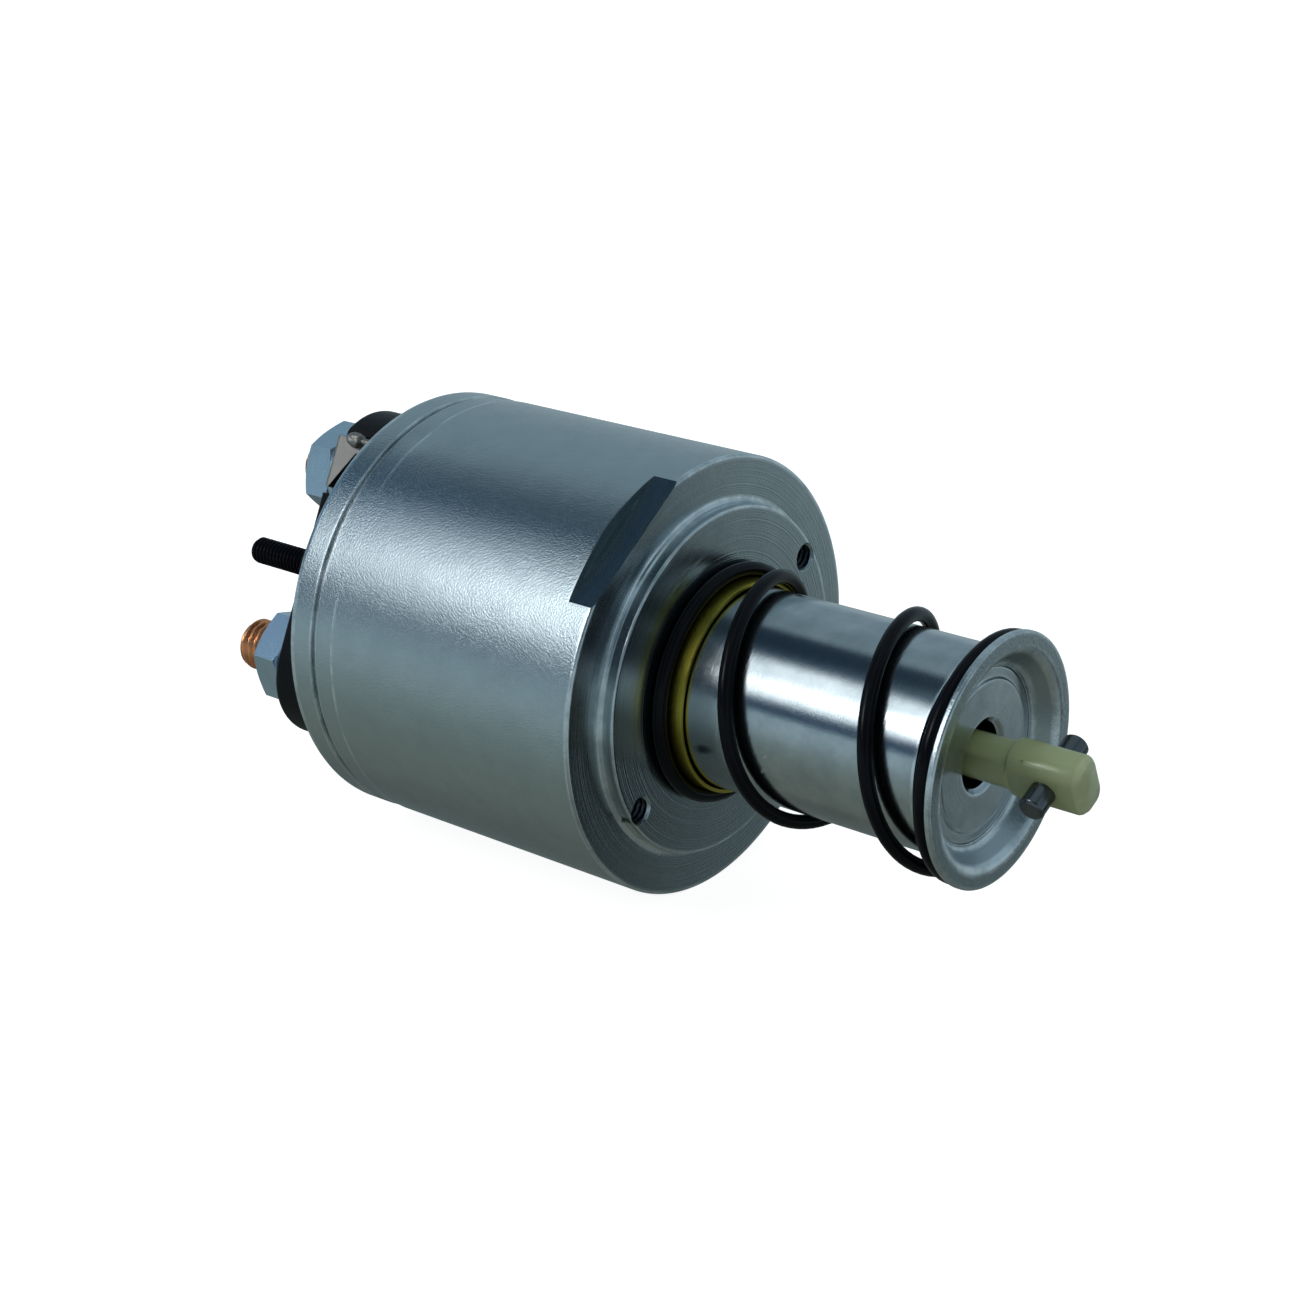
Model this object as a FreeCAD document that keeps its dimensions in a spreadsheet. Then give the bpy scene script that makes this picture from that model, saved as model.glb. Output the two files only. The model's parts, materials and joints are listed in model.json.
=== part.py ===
"""Starter solenoid: a steel can with a brass guide tube, a sprung plunger that pulls a nylon
drawbar and its cross pin, and a moulded cap with the copper terminals and the moving contact.

Frame, in millimetres: the origin is the centre of the boss face that bolts to the starter,
+X runs out of that face along the plunger, and +Z is up. The plunger is shown at rest, out.
The terminals lie on a line that is turned about +X by stud_line from +Y towards +Z.
"""
import FreeCAD
import Part
import Sketcher
import math
import os
import re

from FreeCAD import Placement, Rotation, Vector

# Every size that can be set by itself. Lengths are millimetres, angles are degrees.
SIZES = {
    # gaps that fits are made with
    "fit_gap": 0.05,
    "slide_gap": 0.3,
    # can with its front wall, boss and crimped rear lip
    "housing_radius": 31.0,
    "can_wall": 3.4,
    "front_wall": 10.5,
    "boss_radius": 24.5,
    "boss_height": 2.2,
    "boss_fillet": 0.8,
    "edge_break": 0.4,
    "seat_step": 0.6,
    "lip_overlap": 1.7,
    "lip_thickness": 1.5,
    "crimp_round": 1.2,
    "crimp_width": 5.3,
    "groove_width": 0.7,
    "groove_depth": 0.5,
    "strip_width": 3.2,
    "strip_depth": 0.15,
    # milled flat in the front edge and the two tapped fixing holes
    "notch_depth": 1.96,
    "notch_angle": 126.5,
    "notch_length": 4.0,
    "bolt_circle": 45.0,
    "bolt_angle": 36.0,
    "bolt_hole": 4.2,
    "bolt_countersink": 4.8,
    "bolt_depth": 8.0,
    # coil and the fixed core behind it
    "tube_wall": 0.5,
    "tube_stand": 3.8,
    "coil_length": 32.0,
    "bobbin_wall": 1.0,
    "bobbin_flange": 1.5,
    "hold_in_depth": 4.5,
    "wrap_thickness": 0.3,
    "core_thickness": 4.0,
    "core_stub": 17.5,
    "gasket_thickness": 1.0,
    "lead_radius": 0.5,
    "lead_hole": 1.2,
    # moulded cap
    "cap_flange": 4.2,
    "dome_height": 5.3,
    "dome_step": 2.0,
    "block_height": 15.0,
    "block_half_width": 10.5,
    "block_round": 1.0,
    "cap_side_wall": 3.5,
    "cap_end_wall": 3.0,
    # terminals
    "stud_line": 66.4,
    "stud_offset": 14.8,
    "stud_radius": 4.0,
    "thread_mean_radius": 3.6,
    "stud_head_radius": 6.0,
    "stud_head_height": 3.5,
    "stud_point": 1.8,
    "battery_stud_length": 16.0,
    "motor_stud_length": 12.5,
    "nut_flats": 13.0,
    "nut_height": 5.0,
    "battery_nut_turn": 106.6,
    "motor_nut_turn": 78.5,
    "lock_washer_radius": 6.9,
    "lock_washer_height": 2.0,
    "lock_washer_slit": 1.2,
    "flat_washer_radius": 8.0,
    "flat_washer_height": 1.0,
    "tag_thickness": 1.0,
    "tag_ring_radius": 6.3,
    "tag_width": 8.0,
    "tag_rise": 0.8,
    "tag_recess": 2.3,
    "tag_taper": 3.7,
    "tag_tongue": 2.2,
    "tag_leg": 7.0,
    "lead_inset": 7.1,
    "solder_radius": 1.3,
    "solder_height": 3.7,
    "control_offset": 19.3,
    "control_radius": 1.95,
    "control_shoulder": 2.4,
    "control_head": 3.2,
    "control_head_height": 1.8,
    "control_boss_radius": 4.2,
    "control_boss_height": 3.0,
    "control_length": 20.8,
    # moving contact
    "rod_radius": 2.5,
    "rod_tip": 21.9,
    "rod_collar_radius": 4.5,
    "rod_collar": 1.5,
    "contact_travel": 3.0,
    "plate_thickness": 2.5,
    "plate_half_width": 5.5,
    "plate_reach": 12.5,
    "bush_wall": 1.6,
    "bush_flange_radius": 6.5,
    "bush_flange": 1.5,
    "contact_washer_thickness": 1.0,
    "clip_thickness": 0.8,
    "clip_groove": 0.5,
    "contact_clip_radius": 3.8,
    "rod_end": 1.2,
    "pressure_wire": 1.0,
    "pressure_mean": 4.0,
    "pressure_turns": 5.0,
    "contact_wire": 0.7,
    "contact_mean": 4.7,
    "contact_turns": 2.6,
    # plunger
    "plunger_radius": 14.05,
    "plunger_inner": 12.7,
    "plunger_shoulder": 39.8,
    "plunger_chamfer": 0.5,
    "plunger_bore": 9.0,
    "plunger_floor": 36.0,
    "plunger_nose": 41.0,
    "neck_radius": 11.7,
    "stake_groove_inner": 10.2,
    "stake_groove_width": 1.3,
    "stake_groove_depth": 0.35,
    "nose_hole": 4.5,
    "nose_lip": 0.6,
    "plug_thickness": 3.0,
    # spring cup, pressed from sheet
    "cup_sheet": 1.0,
    "cup_ring_radius": 13.0,
    "cup_depth": 4.0,
    "cup_throat_radius": 14.9,
    "cup_flange": 2.15,
    "cup_bend": 1.5,
    # return spring
    "return_wire": 2.0,
    "return_mean": 15.9,
    "return_waist": 0.5,
    "return_start": 35.0,
    "return_turns": 1.88,
    # drawbar with its cross pin, spring, washer and clip
    "shank_radius": 3.1,
    "head_start": 46.0,
    "head_length": 10.3,
    "head_width": 8.0,
    "head_thickness": 5.6,
    "head_round": 2.2,
    "head_chamfer": 0.9,
    "pin_turn": 27.0,
    "pin_radius": 1.75,
    "pin_waist": 0.25,
    "pin_length": 12.5,
    "pin_distance": 51.2,
    "pin_chamfer": 0.35,
    "drawbar_tail": 1.2,
    "drawbar_clip_radius": 5.2,
    "drawbar_washer_radius": 8.5,
    "drawbar_washer_thickness": 1.5,
    "engagement_wire": 1.6,
    "engagement_mean": 6.2,
    "engagement_turns": 6.0,
}

# Places and fits that follow from the sizes. A place is a distance along +X.
PLACES = {
    "notch_distance": "housing_radius - notch_depth",
    "notch_edge": "-boss_height - notch_length",
    "tube_inner": "plunger_radius + slide_gap",
    "tube_outer": "tube_inner + tube_wall",
    "front_bore": "tube_outer + fit_gap",
    "can_bore": "housing_radius - can_wall",
    "core_seat": "can_bore + seat_step",
    "lip_bore": "core_seat - lip_overlap",
    "bobbin_core": "front_bore + bobbin_wall",
    "bobbin_rim": "can_bore - fit_gap",
    "hold_in_outer": "bobbin_core + hold_in_depth",
    "wrap_inner": "bobbin_rim - wrap_thickness",
    "wall_back": "-front_wall",
    "coil_front": "wall_back - bobbin_flange",
    "core_front": "wall_back - coil_length",
    "coil_back": "core_front + bobbin_flange",
    "core_back": "core_front - core_thickness",
    "gasket_back": "core_back - gasket_thickness",
    "flange_back": "gasket_back - cap_flange",
    "rim": "flange_back - lip_thickness",
    "groove_front": "rim + crimp_width",
    "strip_front": "groove_front + strip_width",
    "dome_back": "flange_back - dome_height",
    "dome_radius": "lip_bore - dome_step",
    "cap_end": "dome_back - block_height",
    "cavity_end": "cap_end + cap_end_wall",
    "cavity_half_width": "block_half_width - cap_side_wall",
    "washer_back": "cap_end - flat_washer_height",
    "nut_front": "washer_back - lock_washer_height",
    "nut_back": "nut_front - nut_height",
    "tag_back": "cap_end - tag_thickness",
    "lead_along": "lip_bore - lead_inset",
    "tag_side": "block_half_width - tag_recess + fit_gap",
    "tag_low": "tag_rise - tag_width / 2",
    "tag_high": "tag_rise + tag_width / 2",
    "lead_across": "tag_side + tag_thickness + lead_radius + fit_gap",
    "solder_place": "cap_end + solder_height",
    "head_face": "cavity_end + stud_head_height",
    "plate_back": "head_face + contact_travel + fit_gap",
    "plate_front": "plate_back + plate_thickness",
    "bush_front": "plate_front + bush_flange",
    "bush_radius": "rod_radius + bush_wall",
    "bush_back": "plate_back + fit_gap",
    "contact_washer_back": "plate_back - contact_washer_thickness",
    "contact_clip_back": "contact_washer_back - clip_thickness",
    "contact_foot": "cavity_half_width - slide_gap - contact_wire / 2",
    "rod_back": "contact_clip_back - rod_end",
    "collar_front": "core_back - fit_gap",
    "collar_back": "collar_front - rod_collar",
    "cup_radius": "cup_throat_radius + cup_flange",
    "cup_back": "plunger_shoulder + cup_sheet",
    "cup_flange_back": "plunger_shoulder + cup_depth - cup_sheet",
    "cup_front": "plunger_shoulder + cup_depth",
    "spring_seat": "max(cup_throat_radius; plunger_radius + slide_gap) + return_wire / 2",
    "stake_floor": "plunger_nose - stake_groove_depth",
    "stake_groove_outer": "stake_groove_inner + stake_groove_width",
    "plug_front": "plug_thickness - plunger_inner",
    "drawbar_back": "plug_front + fit_gap",
    "clip_front": "drawbar_back + drawbar_tail + clip_thickness",
    "clip_back": "drawbar_back + drawbar_tail",
    "drawbar_washer_back": "clip_front + fit_gap",
    "drawbar_washer_front": "drawbar_washer_back + drawbar_washer_thickness",
    "head_end": "head_start + head_length",
}

# A spring's centre line is drawn in pairs of arcs, each pair this many degrees round the coil.
SPRING_STEP = 120

doc = FreeCAD.newDocument("StarterSolenoid")
sheet = doc.addObject("Spreadsheet::Sheet", "Sizes")
for row, (size_name, size) in enumerate(SIZES.items(), start=1):
    sheet.set(f"A{row}", size_name.replace("_", " "))
    sheet.set(f"B{row}", str(size))
    sheet.setAlias(f"B{row}", size_name)
doc.recompute()


def tie(formula):
    """Write a formula of sizes and places as an expression on the sheet's cells."""
    def swap(match):
        word = match.group(0)
        if word in PLACES:
            return f"({tie(PLACES[word])})"
        return f"Sizes.{word}" if word in SIZES else word
    return re.sub(r"[a-z_]+", swap, formula)


def number(formula):
    """The present value of a formula."""
    return float(sheet.evalExpression(tie(formula)))


def turned_by(distance, angle):
    """The two formulas, across and up, of a point at a distance and an angle from +Y."""
    return f"({distance}) * cos(({angle}) * 1 deg)", f"({distance}) * sin(({angle}) * 1 deg)"


def new_body(label, spot=("0", "0"), turn="0"):
    """A body whose own axis lies at spot, a distance and an angle, turned about +X by turn."""
    body = doc.addObject("PartDesign::Body", label)
    body.Label = label
    body.Placement = Placement(Vector(), Rotation(Vector(1, 0, 0), 1))
    across, up = turned_by(*spot)
    body.setExpression("Placement.Base.y", tie(across))
    body.setExpression("Placement.Base.z", tie(up))
    body.setExpression("Placement.Rotation.Angle", tie(turn))
    return body


def sketch_on(body, role, offset="0"):
    """A sketch on one of the body's own planes, moved along the plane's normal."""
    sketch = body.newObject("Sketcher::SketchObject", f"{body.Name}_outline")
    plane = next(part for part in body.Origin.OriginFeatures if part.Role == role)
    sketch.AttachmentSupport = (plane, "")
    sketch.MapMode = "FlatFace"
    sketch.setExpression("AttachmentOffset.Base.z", tie(offset))
    return sketch


def pin_along(sketch, shape, end, formula, kind="DistanceX"):
    """Hold one point of a sketch at a formula along one of the sketch's axes."""
    spot = sketch.addConstraint(Sketcher.Constraint(kind, -1, 1, shape, end, number(formula)))
    sketch.setExpression(f"Constraints[{spot}]", tie(formula))


def pin_point(sketch, shape, end, across, up):
    """Hold one point of a sketch at two formulas."""
    pin_along(sketch, shape, end, across)
    pin_along(sketch, shape, end, up, "DistanceY")


def set_radius(sketch, shape, formula):
    """Hold the radius of a circle or an arc at a formula."""
    spot = sketch.addConstraint(Sketcher.Constraint("Radius", shape, number(formula)))
    sketch.setExpression(f"Constraints[{spot}]", tie(formula))


def draw_outline(sketch, corners):
    """A closed outline of straight runs between corners, each a pair of formulas."""
    spots = [Vector(number(across), number(up), 0) for across, up in corners]
    first = sketch.GeometryCount
    for here, there in zip(spots, spots[1:] + spots[:1]):
        sketch.addGeometry(Part.LineSegment(here, there))
    for run, (across, up) in enumerate(corners):
        following = (run + 1) % len(corners)
        sketch.addConstraint(
            Sketcher.Constraint("Coincident", first + run, 2, first + following, 1)
        )
        pin_point(sketch, first + run, 1, across, up)


def draw_circle(sketch, radius, across="0", up="0"):
    """A circle round a point."""
    centre = Vector(number(across), number(up), 0)
    shape = sketch.addGeometry(Part.Circle(centre, Vector(0, 0, 1), number(radius)))
    pin_point(sketch, shape, 3, across, up)
    set_radius(sketch, shape, radius)


def draw_slot(sketch, reach, half_width):
    """A slot outline with round ends, centred, its end circles at reach either side."""
    length, width = number(reach), number(half_width)
    quarter = math.pi / 2
    top = sketch.addGeometry(Part.LineSegment(Vector(-length, width, 0), Vector(length, width, 0)))
    right = sketch.addGeometry(
        Part.ArcOfCircle(Part.Circle(Vector(length, 0, 0), Vector(0, 0, 1), width), -quarter, quarter)
    )
    base = sketch.addGeometry(
        Part.LineSegment(Vector(length, -width, 0), Vector(-length, -width, 0))
    )
    left = sketch.addGeometry(
        Part.ArcOfCircle(
            Part.Circle(Vector(-length, 0, 0), Vector(0, 0, 1), width), quarter, 3 * quarter
        )
    )
    for shape, end, other, other_end in (
        (top, 2, right, 2), (right, 1, base, 1), (base, 2, left, 2), (left, 1, top, 1)
    ):
        sketch.addConstraint(Sketcher.Constraint("Coincident", shape, end, other, other_end))
    pin_point(sketch, top, 1, f"-({reach})", half_width)
    pin_point(sketch, top, 2, reach, half_width)
    pin_point(sketch, base, 1, reach, f"-({half_width})")
    pin_point(sketch, base, 2, f"-({reach})", f"-({half_width})")
    pin_along(sketch, right, 3, reach)
    pin_along(sketch, left, 3, f"-({reach})")


def add_turning(body, corners, cut=False):
    """Turn an outline of (along X, radius) corners about the body's own X axis."""
    sketch = sketch_on(body, "XZ_Plane")
    draw_outline(sketch, corners)
    before = body.Shape.Volume if cut else 0
    feature = body.newObject("PartDesign::Groove" if cut else "PartDesign::Revolution", "turning")
    feature.Profile = sketch
    feature.ReferenceAxis = (sketch, ["H_Axis"])
    feature.Angle = 360
    doc.recompute()
    if cut and body.Shape.Volume >= before:
        raise RuntimeError(f"{body.Label}: a turned cut removed nothing")


def add_prism(body, draw, front, depth, cut=False, taper=0):
    """Run an outline drawn at the place front back along X, as material or as a cut."""
    sketch = sketch_on(body, "YZ_Plane", front)
    draw(sketch)
    before = body.Shape.Volume if cut else 0
    feature = body.newObject("PartDesign::Pocket" if cut else "PartDesign::Pad", "prism")
    feature.Profile = sketch
    feature.setExpression("Length", tie(depth))
    feature.Reversed = not cut
    feature.TaperAngle = taper
    doc.recompute()
    if cut and body.Shape.Volume >= before:
        raise RuntimeError(f"{body.Label}: a cut removed nothing")


def round_edges(body, kind, size, wanted):
    """Fillet or chamfer the edges of the body so far that the test wanted picks."""
    names = [f"Edge{n}" for n, edge in enumerate(body.Tip.Shape.Edges, start=1) if wanted(edge)]
    if not names:
        raise RuntimeError(f"{body.Label}: no edge to finish")
    base = body.Tip
    feature = body.newObject(f"PartDesign::{kind}", kind.lower())
    feature.Base = (base, names)
    feature.setExpression("Radius" if kind == "Fillet" else "Size", tie(size))
    doc.recompute()


def rim_at(radius, place, tolerance=1e-4):
    """A test for the circular edges of one radius at one place along X."""
    def wanted(edge):
        curve = edge.Curve
        return (
            isinstance(curve, Part.Circle)
            and abs(curve.Radius - number(radius)) < tolerance
            and abs(curve.Center.x - number(place)) < tolerance
        )
    return wanted


def turned(label, corners, spot=("0", "0"), turn="0"):
    """A piece that is one turned outline."""
    body = new_body(label, spot, turn)
    add_turning(body, corners)
    return body


def ring(label, back, front, inner, outer, spot=("0", "0"), turn="0"):
    """A plain ring between two places."""
    return turned(label, [(back, inner), (front, inner), (front, outer), (back, outer)], spot, turn)


def make_housing():
    """The can: one steel piece with its front wall, boss, coil chamber and crimped lip."""
    body = new_body("housing")
    add_turning(body, [
        ("0", "front_bore"),
        ("0", "boss_radius - edge_break"),
        ("-edge_break", "boss_radius"),
        ("-boss_height", "boss_radius"),
        ("-boss_height", "housing_radius - edge_break"),
        ("-boss_height - edge_break", "housing_radius"),
        ("strip_front", "housing_radius"),
        ("strip_front", "housing_radius - strip_depth"),
        ("groove_front", "housing_radius - strip_depth"),
        ("groove_front", "housing_radius - groove_depth"),
        ("groove_front - groove_width", "housing_radius - groove_depth"),
        ("groove_front - groove_width", "housing_radius"),
        ("rim", "housing_radius"),
        ("rim", "lip_bore"),
        ("flange_back", "lip_bore"),
        ("flange_back", "core_seat"),
        ("core_front", "core_seat"),
        ("core_front", "can_bore"),
        ("wall_back", "can_bore"),
        ("wall_back", "front_bore"),
    ])
    round_edges(body, "Fillet", "boss_fillet", rim_at("boss_radius", "-boss_height"))
    round_edges(body, "Fillet", "crimp_round", rim_at("housing_radius", "rim"))

    def notch(sketch):
        out, side = "housing_radius + edge_break", "housing_radius / 2"
        corners = []
        for distance, shift in (
            ("notch_distance", f"-{side}"), (out, f"-{side}"), (out, side), ("notch_distance", side)
        ):
            across, up = turned_by(distance, "notch_angle")
            aside, above = turned_by(shift, "notch_angle + 90")
            corners.append((f"{across} + {aside}", f"{up} + {above}"))
        draw_outline(sketch, corners)

    add_prism(body, notch, "0", "boss_height + notch_length", cut=True)

    def holes(sketch):
        for angle in ("bolt_angle", "bolt_angle + 180"):
            draw_circle(sketch, "bolt_hole / 2", *turned_by("bolt_circle / 2", angle))

    def countersinks(sketch):
        for angle in ("bolt_angle", "bolt_angle + 180"):
            draw_circle(sketch, "bolt_countersink / 2", *turned_by("bolt_circle / 2", angle))

    add_prism(body, holes, "0", "bolt_depth", cut=True)
    add_prism(body, countersinks, "0", "(bolt_countersink - bolt_hole) / 2", cut=True, taper=-45)


def draw_passages(sketch):
    """The two holes, one behind the other in each disc, that the coil's leads pass through."""
    draw_circle(sketch, "lead_hole", "lead_along", "lead_across")
    draw_circle(sketch, "lead_hole", "0", "control_offset")


def make_coil():
    """Guide tube, bobbin, the two windings with their wrap, and the leads to the terminals."""
    ring("guide_tube", "core_front", "tube_stand", "tube_inner", "tube_outer")
    bobbin = turned("coil_bobbin", [
        ("wall_back", "front_bore"),
        ("wall_back", "bobbin_rim"),
        ("coil_front", "bobbin_rim"),
        ("coil_front", "bobbin_core"),
        ("coil_back", "bobbin_core"),
        ("coil_back", "bobbin_rim"),
        ("core_front", "bobbin_rim"),
        ("core_front", "front_bore"),
    ], turn="stud_line")
    add_prism(bobbin, draw_passages, "coil_back", "bobbin_flange", cut=True)
    ring("hold_in_winding", "coil_back", "coil_front", "bobbin_core + fit_gap", "hold_in_outer")
    ring(
        "pull_in_winding", "coil_back", "coil_front", "hold_in_outer + fit_gap", "wrap_inner - fit_gap"
    )
    ring("coil_wrap", "coil_back", "coil_front", "wrap_inner", "bobbin_rim")


def lead_spot():
    """Where the pull-in lead passes, as a distance and an angle from +Y."""
    return (
        "sqrt((lead_along) ^ 2 + (lead_across) ^ 2)",
        "stud_line + atan((lead_across) / (lead_along)) / (1 deg)",
    )


def make_core():
    """The fixed core: a disc that closes the can, with the stub that the plunger is pulled to."""
    body = turned("fixed_core", [
        ("core_back", "rod_radius + slide_gap"),
        ("core_back", "core_seat - fit_gap"),
        ("core_front", "core_seat - fit_gap"),
        ("core_front", "tube_inner - fit_gap"),
        ("core_front + core_stub", "tube_inner - fit_gap"),
        ("core_front + core_stub", "rod_radius + slide_gap"),
    ], turn="stud_line")
    add_prism(body, draw_passages, "core_front", "core_thickness", cut=True)
    gasket = new_body("cap_gasket", turn="stud_line")
    add_prism(
        gasket, lambda sketch: draw_circle(sketch, "core_seat - fit_gap"), "core_back",
        "gasket_thickness"
    )
    add_prism(
        gasket, lambda sketch: draw_slot(sketch, "stud_offset", "cavity_half_width"), "core_back",
        "gasket_thickness", cut=True
    )
    add_prism(gasket, draw_passages, "core_back", "gasket_thickness", cut=True)


def make_cap():
    """The moulded cap: flange, round dome and slot-shaped block, hollow for the contact."""
    body = new_body("terminal_cap", turn="stud_line")
    add_turning(body, [
        ("gasket_back", "0"),
        ("gasket_back", "core_seat - fit_gap"),
        ("flange_back", "core_seat - fit_gap"),
        ("flange_back", "dome_radius"),
        ("dome_back + edge_break", "dome_radius"),
        ("dome_back", "dome_radius - edge_break"),
        ("dome_back", "0"),
    ])
    add_prism(
        body, lambda sketch: draw_slot(sketch, "stud_offset", "block_half_width"), "flange_back",
        "dome_height + block_height"
    )

    def end_edge(edge):
        return all(abs(vertex.X - number("cap_end")) < 1e-4 for vertex in edge.Vertexes)

    round_edges(body, "Fillet", "block_round", end_edge)

    def tag_flat(sketch):
        floor, far = "block_half_width - tag_recess", "block_half_width + 1"
        draw_outline(sketch, [
            ("stud_offset + tag_low - 1", floor), ("stud_offset + block_half_width", floor),
            ("stud_offset + block_half_width", far), ("stud_offset + tag_low - 1", far),
        ])

    add_prism(body, tag_flat, "dome_back", "block_height", cut=True)
    add_prism(
        body, lambda sketch: draw_circle(sketch, "control_boss_radius", "0", "control_offset"),
        "dome_back", "control_boss_height"
    )
    add_prism(
        body, lambda sketch: draw_slot(sketch, "stud_offset", "cavity_half_width"), "gasket_back",
        "gasket_back - (cavity_end)", cut=True
    )

    def stud_holes(sketch):
        draw_circle(sketch, "stud_radius + fit_gap", "stud_offset")
        draw_circle(sketch, "stud_radius + fit_gap", "-stud_offset")

    add_prism(body, stud_holes, "cavity_end", "cap_end_wall", cut=True)
    add_prism(
        body, lambda sketch: draw_circle(sketch, "control_shoulder", "0", "control_offset"),
        "gasket_back", "gasket_back - (dome_back) + control_boss_height", cut=True
    )
    add_prism(
        body, lambda sketch: draw_circle(sketch, "control_head + fit_gap", "0", "control_offset"),
        "gasket_back", "control_head_height", cut=True
    )
    add_prism(
        body, lambda sketch: draw_circle(sketch, "lead_radius + fit_gap", "lead_along", "lead_across"),
        "gasket_back", "gasket_back - (dome_back)", cut=True
    )


def make_stud(label, spot, length):
    """A copper terminal bolt: its head in the cap, its threaded shank out of the end.
    Inside the nut both are drawn at the thread's mean radius, where their flanks meet."""
    turned(label, [
        ("head_face", "0"),
        ("head_face", "stud_head_radius - edge_break"),
        ("head_face - edge_break", "stud_head_radius"),
        ("cavity_end", "stud_head_radius"),
        ("cavity_end", "stud_radius"),
        ("nut_front", "stud_radius"),
        ("nut_front", "thread_mean_radius"),
        ("nut_back", "thread_mean_radius"),
        ("nut_back", "stud_radius"),
        (f"cap_end - {length} + stud_point", "stud_radius"),
        (f"cap_end - {length}", "stud_radius - stud_point"),
        (f"cap_end - {length}", "0"),
    ], spot, "stud_line")


def make_nut(label, spot, turn):
    """A thin hexagon nut with both faces chamfered."""
    body = new_body(label, spot, turn)
    corner = "nut_flats / sqrt(3)"

    def hexagon(sketch):
        draw_outline(sketch, [turned_by(corner, f"{angle}") for angle in range(0, 360, 60)])

    add_prism(body, hexagon, "nut_front", "nut_height")
    add_prism(
        body, lambda sketch: draw_circle(sketch, "thread_mean_radius"), "nut_front", "nut_height",
        cut=True
    )
    flank = "(nut_flats / sqrt(3) - nut_flats / 2)"
    for face, inward in (("nut_front", "-"), ("nut_back", "+")):
        add_turning(body, [
            (face, "nut_flats / 2"),
            (face, f"{corner} + {flank}"),
            (f"{face} {inward} {flank}", f"{corner} + {flank}"),
        ], cut=True)


def make_lock_washer(label, spot):
    """A split spring washer, pressed flat under its nut."""
    body = new_body(label, spot, "stud_line")
    front = "washer_back"
    add_turning(body, [
        (front, "stud_radius + fit_gap"),
        (front, "lock_washer_radius"),
        (f"{front} - lock_washer_height", "lock_washer_radius"),
        (f"{front} - lock_washer_height", "stud_radius + fit_gap"),
    ])

    def slit(sketch):
        half = "lock_washer_slit / 2"
        draw_outline(sketch, [
            ("0", f"-{half}"), ("lock_washer_radius * 2", f"-{half}"),
            ("lock_washer_radius * 2", half), ("0", half),
        ])

    add_prism(body, slit, front, "lock_washer_height", cut=True)


def make_terminals():
    """The two copper studs with their nuts and washers, the tinned tag and the control stud."""
    battery = ("stud_offset", "stud_line + 180")
    motor = ("stud_offset", "stud_line")
    make_stud("battery_stud", battery, "battery_stud_length")
    make_stud("motor_stud", motor, "motor_stud_length")
    make_nut("battery_nut", battery, "battery_nut_turn")
    make_nut("motor_nut", motor, "motor_nut_turn")
    make_lock_washer("battery_lock_washer", battery)
    make_lock_washer("motor_lock_washer", motor)
    ring(
        "battery_flat_washer", "washer_back", "cap_end", "stud_radius + fit_gap",
        "flat_washer_radius", battery
    )
    tag = new_body("motor_tag", motor, "stud_line")

    def neck(sketch):
        draw_outline(sketch, [
            ("tag_low", "0"), ("tag_high", "0"),
            ("tag_high", "tag_side + tag_thickness"), ("tag_low", "tag_side + tag_thickness"),
        ])

    add_prism(
        tag, lambda sketch: draw_circle(sketch, "tag_ring_radius"), "cap_end", "tag_thickness"
    )
    add_prism(tag, neck, "cap_end", "tag_thickness")
    tongue = sketch_on(tag, "XY_Plane", "tag_side")
    draw_outline(tongue, [
        ("tag_back", "tag_low"),
        ("cap_end", "tag_low"),
        ("cap_end + tag_taper", "tag_high - tag_tongue"),
        ("tag_back + tag_leg", "tag_high - tag_tongue"),
        ("tag_back + tag_leg", "tag_high"),
        ("tag_back", "tag_high"),
    ])
    leg = tag.newObject("PartDesign::Pad", "leg")
    leg.Profile = tongue
    leg.setExpression("Length", tie("tag_thickness"))
    doc.recompute()
    add_prism(
        tag, lambda sketch: draw_circle(sketch, "stud_radius + fit_gap"), "cap_end",
        "tag_thickness", cut=True
    )

    def outer_bend(edge):
        return len(edge.Vertexes) == 2 and all(
            abs(vertex.X - number("tag_back")) < 1e-4
            and abs(vertex.Z - number("tag_side + tag_thickness")) < 1e-4
            for vertex in edge.Vertexes
        )

    round_edges(tag, "Fillet", "tag_thickness * 0.9", outer_bend)
    turned("pull_in_lead", [
        ("coil_back", "0"),
        ("coil_back", "lead_radius"),
        ("solder_place - solder_radius", "lead_radius"),
        ("solder_place - solder_radius", "0"),
    ], lead_spot())
    turned("control_lead", [
        ("coil_back", "0"),
        ("coil_back", "lead_radius"),
        ("gasket_back", "lead_radius"),
        ("gasket_back", "0"),
    ], ("control_offset", "stud_line + 90"))
    turned("control_stud", [
        ("gasket_back", "0"),
        ("gasket_back", "control_head"),
        ("gasket_back - control_head_height", "control_head"),
        ("gasket_back - control_head_height", "control_shoulder"),
        ("dome_back - control_boss_height", "control_shoulder"),
        ("dome_back - control_boss_height", "control_radius"),
        ("flange_back - control_length + edge_break", "control_radius"),
        ("flange_back - control_length", "control_radius - edge_break"),
        ("flange_back - control_length", "0"),
    ], ("control_offset", "stud_line + 90"))


def spring_share(angle, span, blend):
    """How far up a spring has climbed, from 0 to 1, with its pitch eased in and out."""
    if angle <= 0:
        return 0.0
    if angle >= span:
        return 1.0
    if angle > span / 2:
        return 1.0 - spring_share(span - angle, span, blend)
    if angle < blend:
        return angle * angle / (2 * blend * (span - blend))
    return (angle - blend / 2) / (span - blend)


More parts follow.
